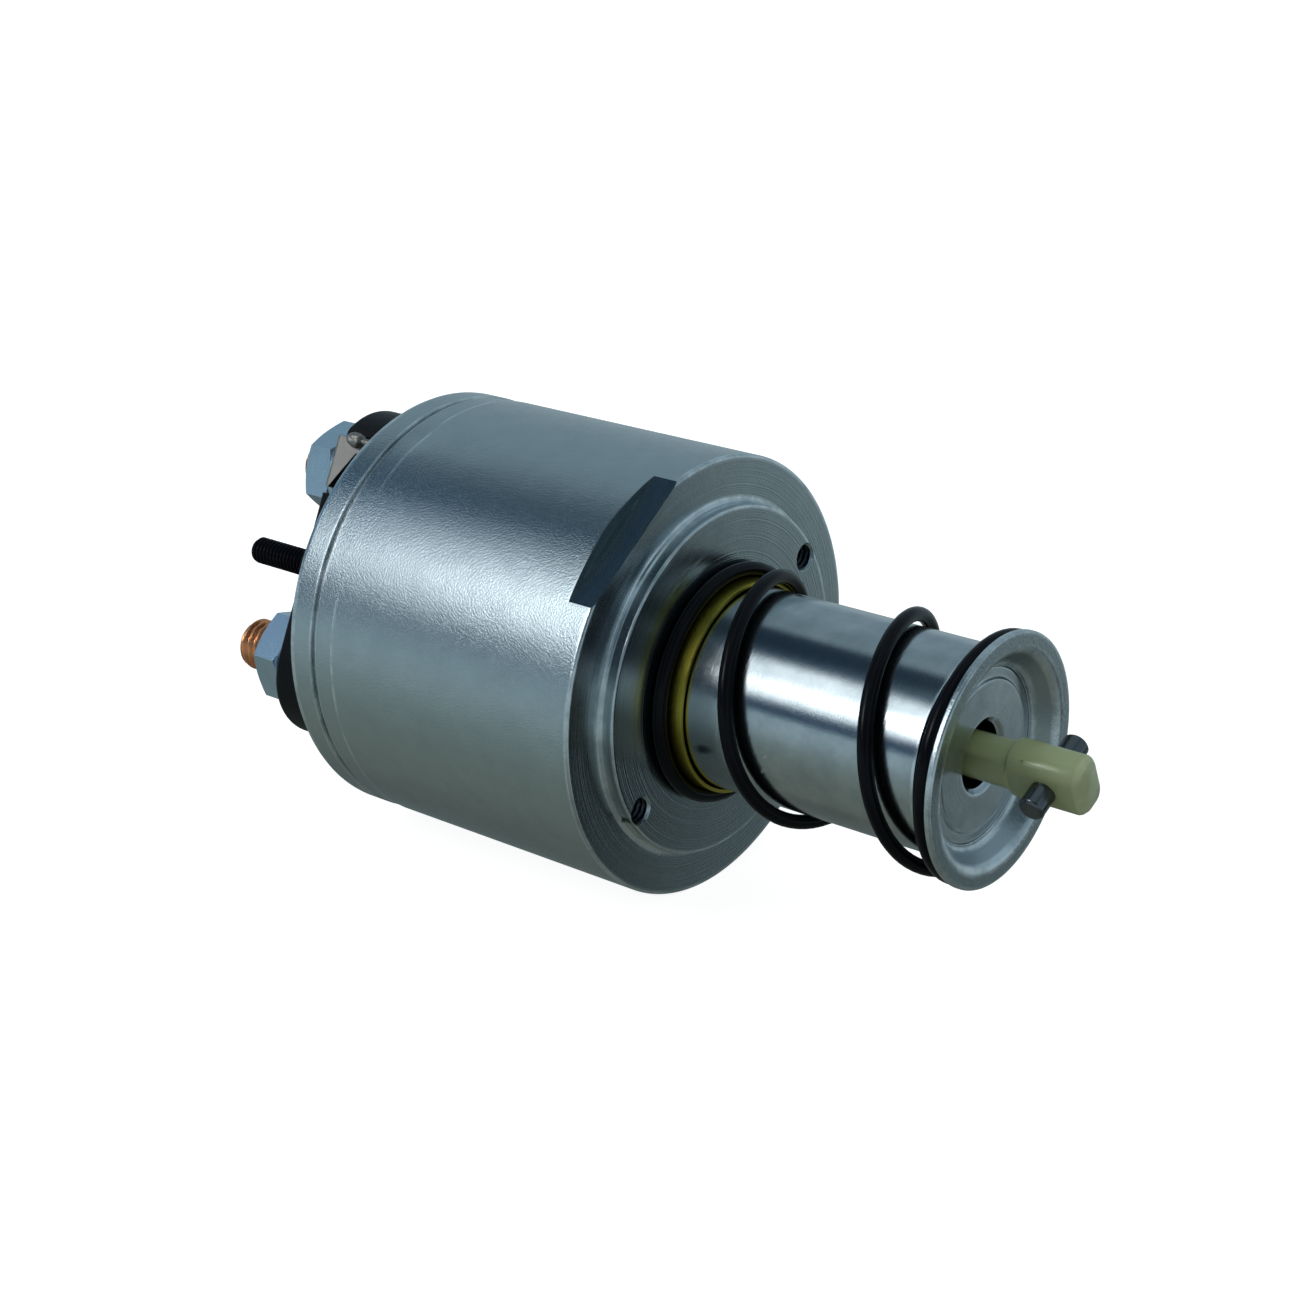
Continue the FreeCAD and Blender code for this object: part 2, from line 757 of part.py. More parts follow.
def arc_pair(here, heading, there, arriving):
    """Two arcs that leave one point and reach another along given directions, without a kink."""
    across = there - here
    both = heading + arriving
    spread = 2 * (1 - heading.dot(arriving))
    reach = (math.sqrt(across.dot(both) ** 2 + spread * across.dot(across)) - across.dot(both)) / spread
    first, second = here + heading * reach, there - arriving * reach
    joint = (first + second) * 0.5
    arcs = []
    for begin, corner, end in ((here, first, joint), (joint, second, there)):
        weight = math.cos((corner - begin).getAngle(end - corner) / 2)
        middle = (begin + corner * (2 * weight) + end) * (1 / (2 + 2 * weight))
        arcs.append(Part.Arc(begin, middle, end).toShape())
    return arcs


def make_spring(label, wire, means, turns, back, front, start="0", waist="0"):
    """A right-handed compression spring between two places, with a flat coil at each end.
    means are the formulas of its mean radius at the back and at the front."""
    thick = number(wire)
    back_mean, front_mean = number(means[0]), number(means[1])
    rise = number(front) - number(back) - thick
    blend = 40.0
    climb = 360 * number(turns) + blend
    pitch = rise / number(turns)
    flat_coil = 360 - 360 * 1.1 * thick / pitch - blend / 2
    climbed = flat_coil + climb
    stations = (0, flat_coil, flat_coil + blend, climbed - blend, climbed, climbed + flat_coil)

    def centre(angle):
        share = spring_share(angle - flat_coil, climb, blend)
        radius = back_mean + (front_mean - back_mean) * share
        radius -= number(waist) * (4 * share * (1 - share)) ** 2
        turn = math.radians(number(start) + angle)
        along = number(back) + thick / 2 + rise * share
        return Vector(along, radius * math.cos(turn), radius * math.sin(turn))

    def heading(angle):
        ahead = centre(angle + 0.5) - centre(angle - 0.5)
        return ahead.normalize()

    arcs = []
    for begin, end in zip(stations, stations[1:]):
        steps = math.ceil((end - begin) / SPRING_STEP)
        for step in range(steps):
            this = begin + (end - begin) * step / steps
            following = begin + (end - begin) * (step + 1) / steps
            arcs += arc_pair(centre(this), heading(this), centre(following), heading(following))
    path = Part.Wire(arcs)
    section = Part.Wire(Part.makeCircle(thick / 2, centre(0), heading(0)))
    spring = doc.addObject("Part::Feature", label)
    spring.Label = label
    spring.Shape = path.makePipeShell([section], True, False)
    drawn = math.pi * thick * thick / 4 * path.Length
    print(f"{label}: {spring.Shape.Volume:.1f} mm3, wire section times length {drawn:.1f} mm3")


def make_contact():
    """The moving contact: its rod, the copper plate on an insulating bush, and two springs."""
    turned("contact_rod", [
        ("rod_back", "0"),
        ("rod_back", "rod_radius"),
        ("contact_clip_back - fit_gap", "rod_radius"),
        ("contact_clip_back - fit_gap", "rod_radius - clip_groove"),
        ("contact_washer_back", "rod_radius - clip_groove"),
        ("contact_washer_back", "rod_radius"),
        ("collar_back", "rod_radius"),
        ("collar_back", "rod_collar_radius"),
        ("collar_front", "rod_collar_radius"),
        ("collar_front", "rod_radius"),
        ("-rod_tip - edge_break", "rod_radius"),
        ("-rod_tip", "rod_radius - edge_break"),
        ("-rod_tip", "0"),
    ])
    turned("contact_bush", [
        ("bush_back", "rod_radius + fit_gap"),
        ("bush_front", "rod_radius + fit_gap"),
        ("bush_front", "bush_flange_radius"),
        ("plate_front", "bush_flange_radius"),
        ("plate_front", "bush_radius"),
        ("bush_back", "bush_radius"),
    ])
    plate = new_body("contact_plate", turn="stud_line")
    add_prism(
        plate, lambda sketch: draw_slot(sketch, "plate_reach", "plate_half_width"), "plate_front",
        "plate_thickness"
    )
    add_prism(
        plate, lambda sketch: draw_circle(sketch, "bush_radius + fit_gap"), "plate_front",
        "plate_thickness", cut=True
    )
    ring(
        "contact_washer", "contact_washer_back", "plate_back", "rod_radius + fit_gap",
        "bush_flange_radius"
    )
    ring(
        "contact_clip", "contact_clip_back", "contact_washer_back",
        "rod_radius - clip_groove + fit_gap", "contact_clip_radius"
    )
    make_spring(
        "contact_pressure_spring", "pressure_wire", ("pressure_mean", "pressure_mean"),
        "pressure_turns",
        "bush_front + fit_gap", "collar_back - fit_gap"
    )
    make_spring(
        "contact_return_spring", "contact_wire", ("contact_foot", "contact_mean"), "contact_turns",
        "cavity_end + fit_gap", "contact_washer_back - fit_gap"
    )


def make_plunger():
    """The plunger with its inner plug, the pressed spring cup and the return spring."""
    turned("plunger", [
        ("-plunger_inner", "plunger_bore"),
        ("-plunger_inner", "plunger_radius - plunger_chamfer"),
        ("-plunger_inner + plunger_chamfer", "plunger_radius"),
        ("plunger_shoulder - plunger_chamfer", "plunger_radius"),
        ("plunger_shoulder", "plunger_radius - plunger_chamfer"),
        ("plunger_shoulder", "neck_radius"),
        ("stake_floor", "neck_radius"),
        ("stake_floor", "stake_groove_inner"),
        ("plunger_nose", "stake_groove_inner"),
        ("plunger_nose", "nose_hole + nose_lip"),
        ("plunger_nose - nose_lip", "nose_hole"),
        ("plunger_floor", "nose_hole"),
        ("plunger_floor", "plunger_bore"),
    ])
    turned("plunger_plug", [
        ("-plunger_inner", "0"),
        ("-plunger_inner", "plunger_bore - fit_gap"),
        ("plug_front", "plunger_bore - fit_gap"),
        ("plug_front", "0"),
    ])
    cup = turned("spring_cup", [
        ("plunger_shoulder", "neck_radius + fit_gap"),
        ("plunger_shoulder", "cup_ring_radius"),
        ("cup_flange_back", "cup_throat_radius"),
        ("cup_flange_back", "cup_radius"),
        ("cup_front", "cup_radius"),
        ("cup_front", "cup_throat_radius - 0.6 * cup_sheet"),
        ("cup_back", "cup_ring_radius - 0.6 * cup_sheet"),
        ("cup_back", "neck_radius + fit_gap"),
    ])
    round_edges(cup, "Fillet", "cup_bend", rim_at("cup_throat_radius - 0.6 * cup_sheet", "cup_front"))
    round_edges(cup, "Fillet", "cup_bend * 0.4", rim_at("cup_throat_radius", "cup_flange_back"))
    make_spring(
        "return_spring", "return_wire", ("return_mean", "spring_seat"), "return_turns", "fit_gap",
        "cup_flange_back - fit_gap", "return_start", "return_waist"
    )


def make_drawbar():
    """The nylon drawbar through the plunger, its cross pin, and the spring that pulls it in.
    The nylon is moulded round a waist in the pin, so that the pin can't slip out."""
    body = turned("drawbar", [
        ("drawbar_back", "0"),
        ("drawbar_back", "shank_radius - edge_break"),
        ("drawbar_back + edge_break", "shank_radius"),
        ("clip_back - fit_gap", "shank_radius"),
        ("clip_back - fit_gap", "shank_radius - clip_groove"),
        ("clip_front", "shank_radius - clip_groove"),
        ("clip_front", "shank_radius"),
        ("head_start", "shank_radius"),
        ("head_start", "0"),
    ], turn="pin_turn")

    def section(sketch):
        draw_outline(sketch, [
            ("-head_thickness / 2", "-head_width / 2"), ("head_thickness / 2", "-head_width / 2"),
            ("head_thickness / 2", "head_width / 2"), ("-head_thickness / 2", "head_width / 2"),
        ])

    add_prism(body, section, "head_end", "head_length")

    def long_corner(edge):
        return len(edge.Vertexes) == 2 and all(
            abs(abs(vertex.Z) - number("head_width / 2")) < 1e-4 for vertex in edge.Vertexes
        ) and abs(edge.Vertexes[0].X - edge.Vertexes[1].X) > number("head_length") / 2

    def end_edge(edge):
        return all(abs(vertex.X - number("head_end")) < 1e-4 for vertex in edge.Vertexes)

    round_edges(body, "Fillet", "head_round", long_corner)
    round_edges(body, "Chamfer", "head_chamfer", end_edge)
    pin_hole = sketch_on(body, "XZ_Plane")
    draw_circle(pin_hole, "pin_radius - pin_waist", "pin_distance", "0")
    before = body.Shape.Volume
    drilled = body.newObject("PartDesign::Pocket", "pin_hole")
    drilled.Profile = pin_hole
    drilled.Midplane = True
    drilled.setExpression("Length", tie("head_thickness * 2"))
    doc.recompute()
    if body.Shape.Volume >= before:
        raise RuntimeError("drawbar: the pin hole removed nothing")

    pin = new_body("cross_pin", turn="pin_turn")
    sketch = sketch_on(pin, "XZ_Plane")
    draw_circle(sketch, "pin_radius", "pin_distance", "0")
    rod = pin.newObject("PartDesign::Pad", "rod")
    rod.Profile = sketch
    rod.Midplane = True
    rod.setExpression("Length", tie("pin_length"))
    doc.recompute()
    round_edges(pin, "Chamfer", "pin_chamfer", lambda edge: isinstance(edge.Curve, Part.Circle))
    waist = sketch_on(pin, "XY_Plane")
    waist.setExpression("AttachmentOffset.Base.x", tie("pin_distance"))
    draw_outline(waist, [
        ("pin_radius - pin_waist", "-head_thickness / 2"),
        ("pin_radius * 2", "-head_thickness / 2"),
        ("pin_radius * 2", "head_thickness / 2"),
        ("pin_radius - pin_waist", "head_thickness / 2"),
    ])
    grip = pin.newObject("PartDesign::Groove", "waist")
    grip.Profile = waist
    grip.ReferenceAxis = (waist, ["V_Axis"])
    grip.Angle = 360
    doc.recompute()
    ring(
        "drawbar_clip", "clip_back", "clip_front", "shank_radius - clip_groove + fit_gap",
        "drawbar_clip_radius"
    )
    ring(
        "drawbar_washer", "drawbar_washer_back", "drawbar_washer_front",
        "shank_radius + slide_gap", "drawbar_washer_radius"
    )
    make_spring(
        "engagement_spring", "engagement_wire", ("engagement_mean", "engagement_mean"),
        "engagement_turns", "drawbar_washer_front + fit_gap", "plunger_floor - fit_gap"
    )


make_housing()
make_coil()
make_core()
make_cap()
make_terminals()
make_contact()
make_plunger()
make_drawbar()
doc.recompute()

pieces = [
    part for part in doc.Objects
    if part.TypeId == "PartDesign::Body" or part.TypeId == "Part::Feature"
]
for part in doc.Objects:
    if "Invalid" in part.State or "Error" in part.State:
        raise RuntimeError(f"{part.Label} failed: {part.State}")
for part in pieces:
    if part.Shape.isNull() or not part.Shape.isValid() or len(part.Shape.Solids) != 1:
        raise RuntimeError(f"{part.Label} has no valid solid")

os.makedirs("parts", exist_ok=True)
for part in pieces:
    part.Shape.exportStep(f"parts/{part.Label}.step")
print(f"{len(pieces)} pieces written")
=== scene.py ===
"""Looks of the starter solenoid: turned, pressed, wound and moulded pieces round the fixed frame.

Everything is in metres in the frame of the part: +X runs out of the boss face along the plunger.
Sizes of pieces are written in millimetres and turned into metres where a mesh is made.
"""

import json
import math

import bmesh
import bpy
from mathutils import Matrix, Quaternion, Vector, noise


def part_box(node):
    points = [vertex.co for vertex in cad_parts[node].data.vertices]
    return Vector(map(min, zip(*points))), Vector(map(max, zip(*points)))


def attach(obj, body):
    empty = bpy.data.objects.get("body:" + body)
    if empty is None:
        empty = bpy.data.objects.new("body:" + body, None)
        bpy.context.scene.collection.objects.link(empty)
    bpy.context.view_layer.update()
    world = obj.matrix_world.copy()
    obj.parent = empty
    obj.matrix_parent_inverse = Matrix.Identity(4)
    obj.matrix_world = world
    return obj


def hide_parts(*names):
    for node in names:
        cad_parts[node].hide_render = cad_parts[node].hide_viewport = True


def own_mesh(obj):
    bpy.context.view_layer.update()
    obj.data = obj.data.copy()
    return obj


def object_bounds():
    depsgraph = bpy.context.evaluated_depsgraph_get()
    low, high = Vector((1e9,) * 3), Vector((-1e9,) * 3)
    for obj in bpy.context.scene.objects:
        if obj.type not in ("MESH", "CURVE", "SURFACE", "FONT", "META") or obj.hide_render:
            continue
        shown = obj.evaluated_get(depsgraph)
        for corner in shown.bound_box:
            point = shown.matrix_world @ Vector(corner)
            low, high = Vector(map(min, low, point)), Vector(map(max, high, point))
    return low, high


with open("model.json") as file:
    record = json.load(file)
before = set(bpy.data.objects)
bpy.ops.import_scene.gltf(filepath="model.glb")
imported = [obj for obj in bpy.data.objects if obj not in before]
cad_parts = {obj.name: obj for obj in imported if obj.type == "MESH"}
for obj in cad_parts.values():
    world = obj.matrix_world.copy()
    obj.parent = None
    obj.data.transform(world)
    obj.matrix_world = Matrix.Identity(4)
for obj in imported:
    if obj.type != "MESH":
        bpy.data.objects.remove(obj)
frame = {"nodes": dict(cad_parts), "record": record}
nodes = frame["nodes"]
cad_low, cad_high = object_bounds()

MM = 0.001
STUD_LINE = math.radians(66.4)
STUD_OFFSET = 14.8
CONTROL_OFFSET = 19.3


def low_of(node):
    """Lowest corner of a node, in millimetres."""
    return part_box(node)[0] / MM


def high_of(node):
    """Highest corner of a node, in millimetres."""
    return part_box(node)[1] / MM


def spot_at(distance, angle):
    """Across and up of a point at a distance and an angle from +Y, in millimetres."""
    return distance * math.cos(angle), distance * math.sin(angle)


BATTERY_SPOT = spot_at(STUD_OFFSET, STUD_LINE + math.pi)
MOTOR_SPOT = spot_at(STUD_OFFSET, STUD_LINE)
CONTROL_SPOT = spot_at(CONTROL_OFFSET, STUD_LINE + math.pi / 2)


# Nodes and their links, for materials and geometry alike

def add(tree, kind, inputs=None, **settings):
    """A node with its settings, and its inputs given as values or as other nodes' sockets."""
    node = tree.nodes.new(kind)
    for name, value in settings.items():
        setattr(node, name, value)
    for socket, value in (inputs or {}).items():
        if isinstance(value, bpy.types.NodeSocket):
            tree.links.new(value, node.inputs[socket])
        else:
            node.inputs[socket].default_value = value
    return node


def calc(tree, operation, *terms, clamp=False):
    """The result of one Math node, in a shader tree or a geometry tree."""
    inputs = dict(enumerate(terms))
    return add(tree, "ShaderNodeMath", inputs, operation=operation, use_clamp=clamp).outputs[0]


def laid_over(tree, below, mask, shade):
    """One colour laid over another where a mask is full."""
    inputs = {"Factor": mask, "A": below, "B": shade}
    return add(tree, "ShaderNodeMix", inputs, data_type="RGBA").outputs["Result"]


def new_group(name, kind, inputs, outputs):
    """A node group with named inputs and outputs."""
    tree = bpy.data.node_groups.new(name, kind)
    for label, socket_kind, value in inputs:
        socket = tree.interface.new_socket(name=label, in_out="INPUT", socket_type=socket_kind)
        if value is not None:
            socket.default_value = value
    for label, socket_kind in outputs:
        tree.interface.new_socket(name=label, in_out="OUTPUT", socket_type=socket_kind)
    return tree, tree.nodes.new("NodeGroupInput").outputs, tree.nodes.new("NodeGroupOutput")


def stretched(tree, vector, along, across):
    """A vector whose X part is scaled by one value and whose Y and Z parts by another."""
    scale = add(tree, "ShaderNodeCombineXYZ", {"X": along, "Y": across, "Z": across}).outputs[0]
    return add(
        tree, "ShaderNodeVectorMath", {0: vector, 1: scale}, operation="MULTIPLY"
    ).outputs[0]


def make_grain_group():
    """Fine grain of a plated or moulded surface: short streaks, with a coarser layer below."""
    tree, given, result = new_group(
        "surface grain", "ShaderNodeTree",
        [("Vector", "NodeSocketVector", None), ("Scale", "NodeSocketFloat", 3000.0),
         ("Stretch", "NodeSocketFloat", 1.0)],
        [("Grain", "NodeSocketFloat"), ("Mottle", "NodeSocketFloat")],
    )
    vector = stretched(tree, given["Vector"], given["Stretch"], 1.0)
    fine = add(
        tree, "ShaderNodeTexNoise",
        {"Vector": vector, "Scale": given["Scale"], "Detail": 3.0, "Roughness": 0.7},
    )
    coarse = calc(tree, "DIVIDE", given["Scale"], 14.0)
    mottle = add(
        tree, "ShaderNodeTexNoise",
        {"Vector": given["Vector"], "Scale": coarse, "Detail": 5.0, "Roughness": 0.6},
    )
    tree.links.new(fine.outputs[0], result.inputs["Grain"])
    tree.links.new(mottle.outputs[0], result.inputs["Mottle"])
    return tree


def make_marks_group():
    """Marks of handling: thin scratches in two directions, and small round specks."""
    tree, given, result = new_group(
        "handling marks", "ShaderNodeTree",
        [("Vector", "NodeSocketVector", None), ("Scratch scale", "NodeSocketFloat", 500.0),
         ("Scratch amount", "NodeSocketFloat", 0.3), ("Speck scale", "NodeSocketFloat", 400.0),
         ("Speck amount", "NodeSocketFloat", 0.3)],
        [("Scratches", "NodeSocketFloat"), ("Specks", "NodeSocketFloat")],
    )
    layers = []
    for turn in ((0.5, 0.2, 0.9), (-0.8, 0.6, -0.3)):
        turned = add(
            tree, "ShaderNodeVectorRotate", {"Vector": given["Vector"], "Rotation": turn},
            rotation_type="EULER_XYZ",
        ).outputs[0]
        vector = stretched(tree, turned, 0.04, 1.0)
        streak = add(
            tree, "ShaderNodeTexNoise",
            {"Vector": vector, "Scale": given["Scratch scale"], "Detail": 1.0},
        ).outputs[0]
        limit = add(
            tree, "ShaderNodeMapRange",
            {"Value": given["Scratch amount"], "To Min": 0.86, "To Max": 0.66},
        ).outputs[0]
        over = calc(tree, "SUBTRACT", streak, limit)
        layers.append(calc(tree, "MULTIPLY", over, 30.0, clamp=True))
    scratches = calc(tree, "MAXIMUM", *layers)
    cell = add(
        tree, "ShaderNodeTexVoronoi", {"Vector": given["Vector"], "Scale": given["Speck scale"]},
        feature="F1",
    )
    chance = add(tree, "ShaderNodeSeparateColor", {0: cell.outputs["Color"]}).outputs[0]
    picked = calc(tree, "LESS_THAN", chance, given["Speck amount"])
    size = calc(tree, "MULTIPLY", chance, 0.35)
    inside = calc(tree, "SUBTRACT", size, cell.outputs["Distance"])
    round_mask = calc(tree, "MULTIPLY", inside, 40.0, clamp=True)
    specks = calc(tree, "MULTIPLY", picked, round_mask)
    tree.links.new(scratches, result.inputs["Scratches"])
    tree.links.new(specks, result.inputs["Specks"])
    return tree


def make_turning_group():
    """Turning marks: rings about the X axis on a face, and round lines on a cylinder."""
    tree, given, result = new_group(
        "turning marks", "ShaderNodeTree",
        [("Vector", "NodeSocketVector", None), ("Lines per metre", "NodeSocketFloat", 3000.0)],
        [("Rings", "NodeSocketFloat")],
    )
    part = add(tree, "ShaderNodeSeparateXYZ", {0: given["Vector"]}).outputs
    square = calc(tree, "MULTIPLY", part["Z"], part["Z"])
    radius = calc(tree, "SQRT", calc(tree, "MULTIPLY_ADD", part["Y"], part["Y"], square))
    along = calc(tree, "ADD", radius, part["X"])
    place = calc(tree, "MULTIPLY", along, given["Lines per metre"])
    rings = add(
        tree, "ShaderNodeTexNoise", {"W": place, "Scale": 1.0, "Detail": 2.0},
        noise_dimensions="1D",
    ).outputs[0]
    tree.links.new(rings, result.inputs["Rings"])
    return tree


GRAIN = make_grain_group()
MARKS = make_marks_group()
TURNING = make_turning_group()


def make_finish(
    name, colour, other_colour, metallic, roughness, roughness_spread=0.1, grain_scale=3000.0,
    stretch=1.0, grain_height=0.2, mottle_spread=0.5, scratches=0.2, scratch_colour=None,
    specks=0.2, speck_colour=None, rings=0.0, ring_lines=3000.0, ring_mask=None,
    wear_and_painted_sheen_colour=None, painted_recess_shade_colour=None, **constants
):
    """A material whose colour, roughness and relief change over the surface like the real one's."""
    material = bpy.data.materials.new(name)
    material.use_nodes = True
    tree = material.node_tree
    shader = tree.nodes["Principled BSDF"]
    vector = add(tree, "ShaderNodeTexCoord").outputs["Object"]
    grain = add(tree, "ShaderNodeGroup", node_tree=GRAIN)
    tree.links.new(vector, grain.inputs["Vector"])
    grain.inputs["Scale"].default_value = grain_scale
    grain.inputs["Stretch"].default_value = stretch
    marks = add(tree, "ShaderNodeGroup", node_tree=MARKS)
    tree.links.new(vector, marks.inputs["Vector"])
    marks.inputs["Scratch amount"].default_value = scratches
    marks.inputs["Speck amount"].default_value = specks
    turning = add(tree, "ShaderNodeGroup", node_tree=TURNING)
    tree.links.new(vector, turning.inputs["Vector"])
    turning.inputs["Lines per metre"].default_value = ring_lines

    spread = add(
        tree, "ShaderNodeMapRange",
        {"Value": grain.outputs["Mottle"], "From Min": 0.5 - mottle_spread / 2,
         "From Max": 0.5 + mottle_spread / 2},
    ).outputs[0]
    shade = laid_over(tree, (*colour, 1), spread, (*other_colour, 1))
    layers = [
        (marks.outputs["Scratches"], scratch_colour),
        (marks.outputs["Specks"], speck_colour),
    ]
    # Lighter colour on every rounded edge, concave fillets too: partly wear, partly painted sheen.
    if wear_and_painted_sheen_colour:
        wear_and_painted_sheen = add(tree, "ShaderNodeAttribute", attribute_name="wear_and_painted_sheen").outputs["Fac"]
        uneven = add(
            tree, "ShaderNodeMapRange",
            {"Value": grain.outputs["Mottle"], "From Min": 0.35, "From Max": 0.6},
        ).outputs[0]
        layers.append((calc(tree, "MULTIPLY", wear_and_painted_sheen, uneven), wear_and_painted_sheen_colour))
    # Painted shade: a dark colour laid over the hollows that the mesh marks, where little light
    # reaches.
    if painted_recess_shade_colour:
        painted_recess_shade = add(tree, "ShaderNodeAttribute", attribute_name="painted_recess_shade").outputs["Fac"]
        layers.append((painted_recess_shade, painted_recess_shade_colour))
    for mask, layer_colour in layers:
        if layer_colour:
            shade = laid_over(tree, shade, mask, (*layer_colour, 1))
    tree.links.new(shade, shader.inputs["Base Color"])

    rough = calc(
        tree, "MULTIPLY_ADD", grain.outputs["Grain"], roughness_spread,
        roughness - roughness_spread / 2,
    )
    rough = calc(tree, "MULTIPLY_ADD", marks.outputs["Scratches"], 0.15, rough)
    rough = calc(tree, "MULTIPLY_ADD", grain.outputs["Mottle"], roughness_spread / 2, rough)

    height = calc(tree, "MULTIPLY", grain.outputs["Grain"], grain_height)
    cut_lines = calc(tree, "MULTIPLY", turning.outputs["Rings"], rings)
    if ring_mask:
        faced = add(tree, "ShaderNodeAttribute", attribute_name=ring_mask).outputs["Fac"]
        cut_lines = calc(tree, "MULTIPLY", cut_lines, faced)
        height = calc(tree, "MULTIPLY", height, calc(tree, "MULTIPLY_ADD", faced, -0.8, 1.0))
        rough = calc(tree, "MULTIPLY_ADD", faced, -0.03, rough)
    height = calc(tree, "ADD", cut_lines, height)
    height = calc(tree, "MULTIPLY_ADD", marks.outputs["Scratches"], -0.5, height)
    height = calc(tree, "MULTIPLY_ADD", marks.outputs["Specks"], -0.4, height)
    bump = add(tree, "ShaderNodeBump", {"Height": height, "Distance": 0.02 * MM, "Strength": 1.0})
    tree.links.new(bump.outputs[0], shader.inputs["Normal"])
    tree.links.new(rough, shader.inputs["Roughness"])
    shader.inputs["Metallic"].default_value = metallic
    for socket, value in constants.items():
        shader.inputs[socket.replace("_", " ")].default_value = value
    return material


FINISHES = {
    "zinc_steel": make_finish(
        "zinc steel", (0.50, 0.55, 0.57), (0.44, 0.49, 0.51), 1.0, 0.175, 0.12,
        grain_scale=3300.0, grain_height=2.6, scratches=0.12,
        scratch_colour=(0.60, 0.65, 0.68), specks=0.10, speck_colour=(0.20, 0.23, 0.25),
        # Lighter edge colour: partly wear, partly painted sheen.
        rings=0.8, ring_lines=4000.0, ring_mask="faced", wear_and_painted_sheen_colour=(0.78, 0.82, 0.84),
        # Dark painted shade in the tapped holes and the groove.
        painted_recess_shade_colour=(0.05, 0.06, 0.07),
    ),
    "plunger_steel": make_finish(
        "plunger steel", (0.56, 0.59, 0.61), (0.42, 0.46, 0.48), 1.0, 0.13, 0.12,
        grain_scale=3200.0, grain_height=0.3, mottle_spread=0.35, scratches=0.32,
        scratch_colour=(0.75, 0.77, 0.78), specks=0.22, speck_colour=(0.16, 0.18, 0.20),
        # Lighter edge colour: partly wear, partly painted sheen.
        rings=0.25, ring_lines=3500.0, wear_and_painted_sheen_colour=(0.80, 0.83, 0.85),
    ),
    "plated_fastener": make_finish(
        "bright zinc", (0.54, 0.67, 0.78), (0.46, 0.58, 0.70), 1.0, 0.26, 0.12,
        grain_scale=3500.0, scratches=0.2, scratch_colour=(0.66, 0.74, 0.80), specks=0.12,
        speck_colour=(0.2, 0.26, 0.32),
    ),
    "bare_steel": make_finish(
        "bare steel", (0.17, 0.175, 0.19), (0.11, 0.115, 0.13), 1.0, 0.17, 0.10, specks=0.15,
        speck_colour=(0.06, 0.06, 0.07),
    ),
    "black_steel": make_finish(
        "black steel", (0.004, 0.004, 0.006), (0.007, 0.007, 0.009), 0.0, 0.12, 0.05,
        grain_height=0.06, scratches=0.10, scratch_colour=(0.015, 0.015, 0.017), specks=0.05,
        speck_colour=(0.02, 0.02, 0.022), Specular_IOR_Level=0.10,
    ),
    "copper": make_finish(
        "copper", (0.98, 0.43, 0.20), (0.80, 0.29, 0.11), 0.80, 0.22, 0.12, grain_scale=2200.0,
        scratches=0.25, scratch_colour=(0.85, 0.45, 0.28), specks=0.18,
        speck_colour=(0.20, 0.08, 0.04),
    ),
    "winding_copper": make_finish(
        "enamelled copper", (0.50, 0.19, 0.08), (0.38, 0.13, 0.05), 1.0, 0.30, rings=1.0,
        ring_lines=1600.0,
    ),
    "tinned_copper": make_finish(
        "dull tin", (0.42, 0.38, 0.34), (0.30, 0.27, 0.25), 1.0, 0.42, 0.2, grain_scale=1800.0,
        scratches=0.25, scratch_colour=(0.6, 0.58, 0.55), specks=0.25,
        speck_colour=(0.14, 0.10, 0.08),
    ),
    "brass_tube": make_finish(
        "drawn brass", (0.74, 0.60, 0.09), (0.56, 0.45, 0.06), 1.0, 0.28, 0.14, scratches=0.2,
        scratch_colour=(0.75, 0.62, 0.22), specks=0.25, speck_colour=(0.12, 0.09, 0.02), rings=0.4,
    ),
    "black_moulding": make_finish(
        "black moulding", (0.002, 0.002, 0.003), (0.004, 0.004, 0.006), 0.0, 0.34, 0.2,
        grain_scale=2400.0, grain_height=0.5, scratches=0.2, scratch_colour=(0.03, 0.03, 0.034),
        specks=0.1, speck_colour=(0.012, 0.012, 0.014), Specular_IOR_Level=0.14,
    ),
    "natural_nylon": make_finish(
        "natural nylon", (0.40, 0.43, 0.22), (0.33, 0.36, 0.17), 0.0, 0.20, 0.12,
        grain_scale=1500.0, grain_height=0.25, scratches=0.25, scratch_colour=(0.66, 0.70, 0.46),
        # Lighter colour at the head's end: partly wear, partly painted sheen.
        specks=0.12, speck_colour=(0.22, 0.24, 0.11), wear_and_painted_sheen_colour=(0.52, 0.54, 0.32),
        Specular_IOR_Level=0.7, Subsurface_Weight=0.25, Subsurface_Scale=1.2 * MM,
    ),
    "insulation": make_finish(
        "insulating board", (0.36, 0.24, 0.12), (0.27, 0.17, 0.08), 0.0, 0.7, 0.1,
        grain_height=0.6,
    ),
    "gasket_rubber": make_finish(
        "gasket rubber", (0.020, 0.020, 0.020), (0.030, 0.030, 0.030), 0.0, 0.6, 0.1,
        grain_height=0.5,
    ),
}
SLOT_OF = {part["node"]: part["material_slot"] for part in frame["record"]["subparts"]}


def dress(piece, finish):
    """Give a piece one of the finishes, on every slot that it has."""
    piece.data.materials.clear()
    piece.data.materials.append(FINISHES[finish])


for node_name, node_object in nodes.items():
    dress(node_object, SLOT_OF[node_name])


# Making meshes

def placed(name, data):
    """A new object in the scene."""
    thing = bpy.data.objects.new(name, data)
    bpy.context.scene.collection.objects.link(thing)
    return thing


def finished_mesh(shape, name):
    """A mesh from a shape that has been worked on."""
    mesh = bpy.data.meshes.new(name)
    shape.to_mesh(mesh)
    shape.free()
    return mesh


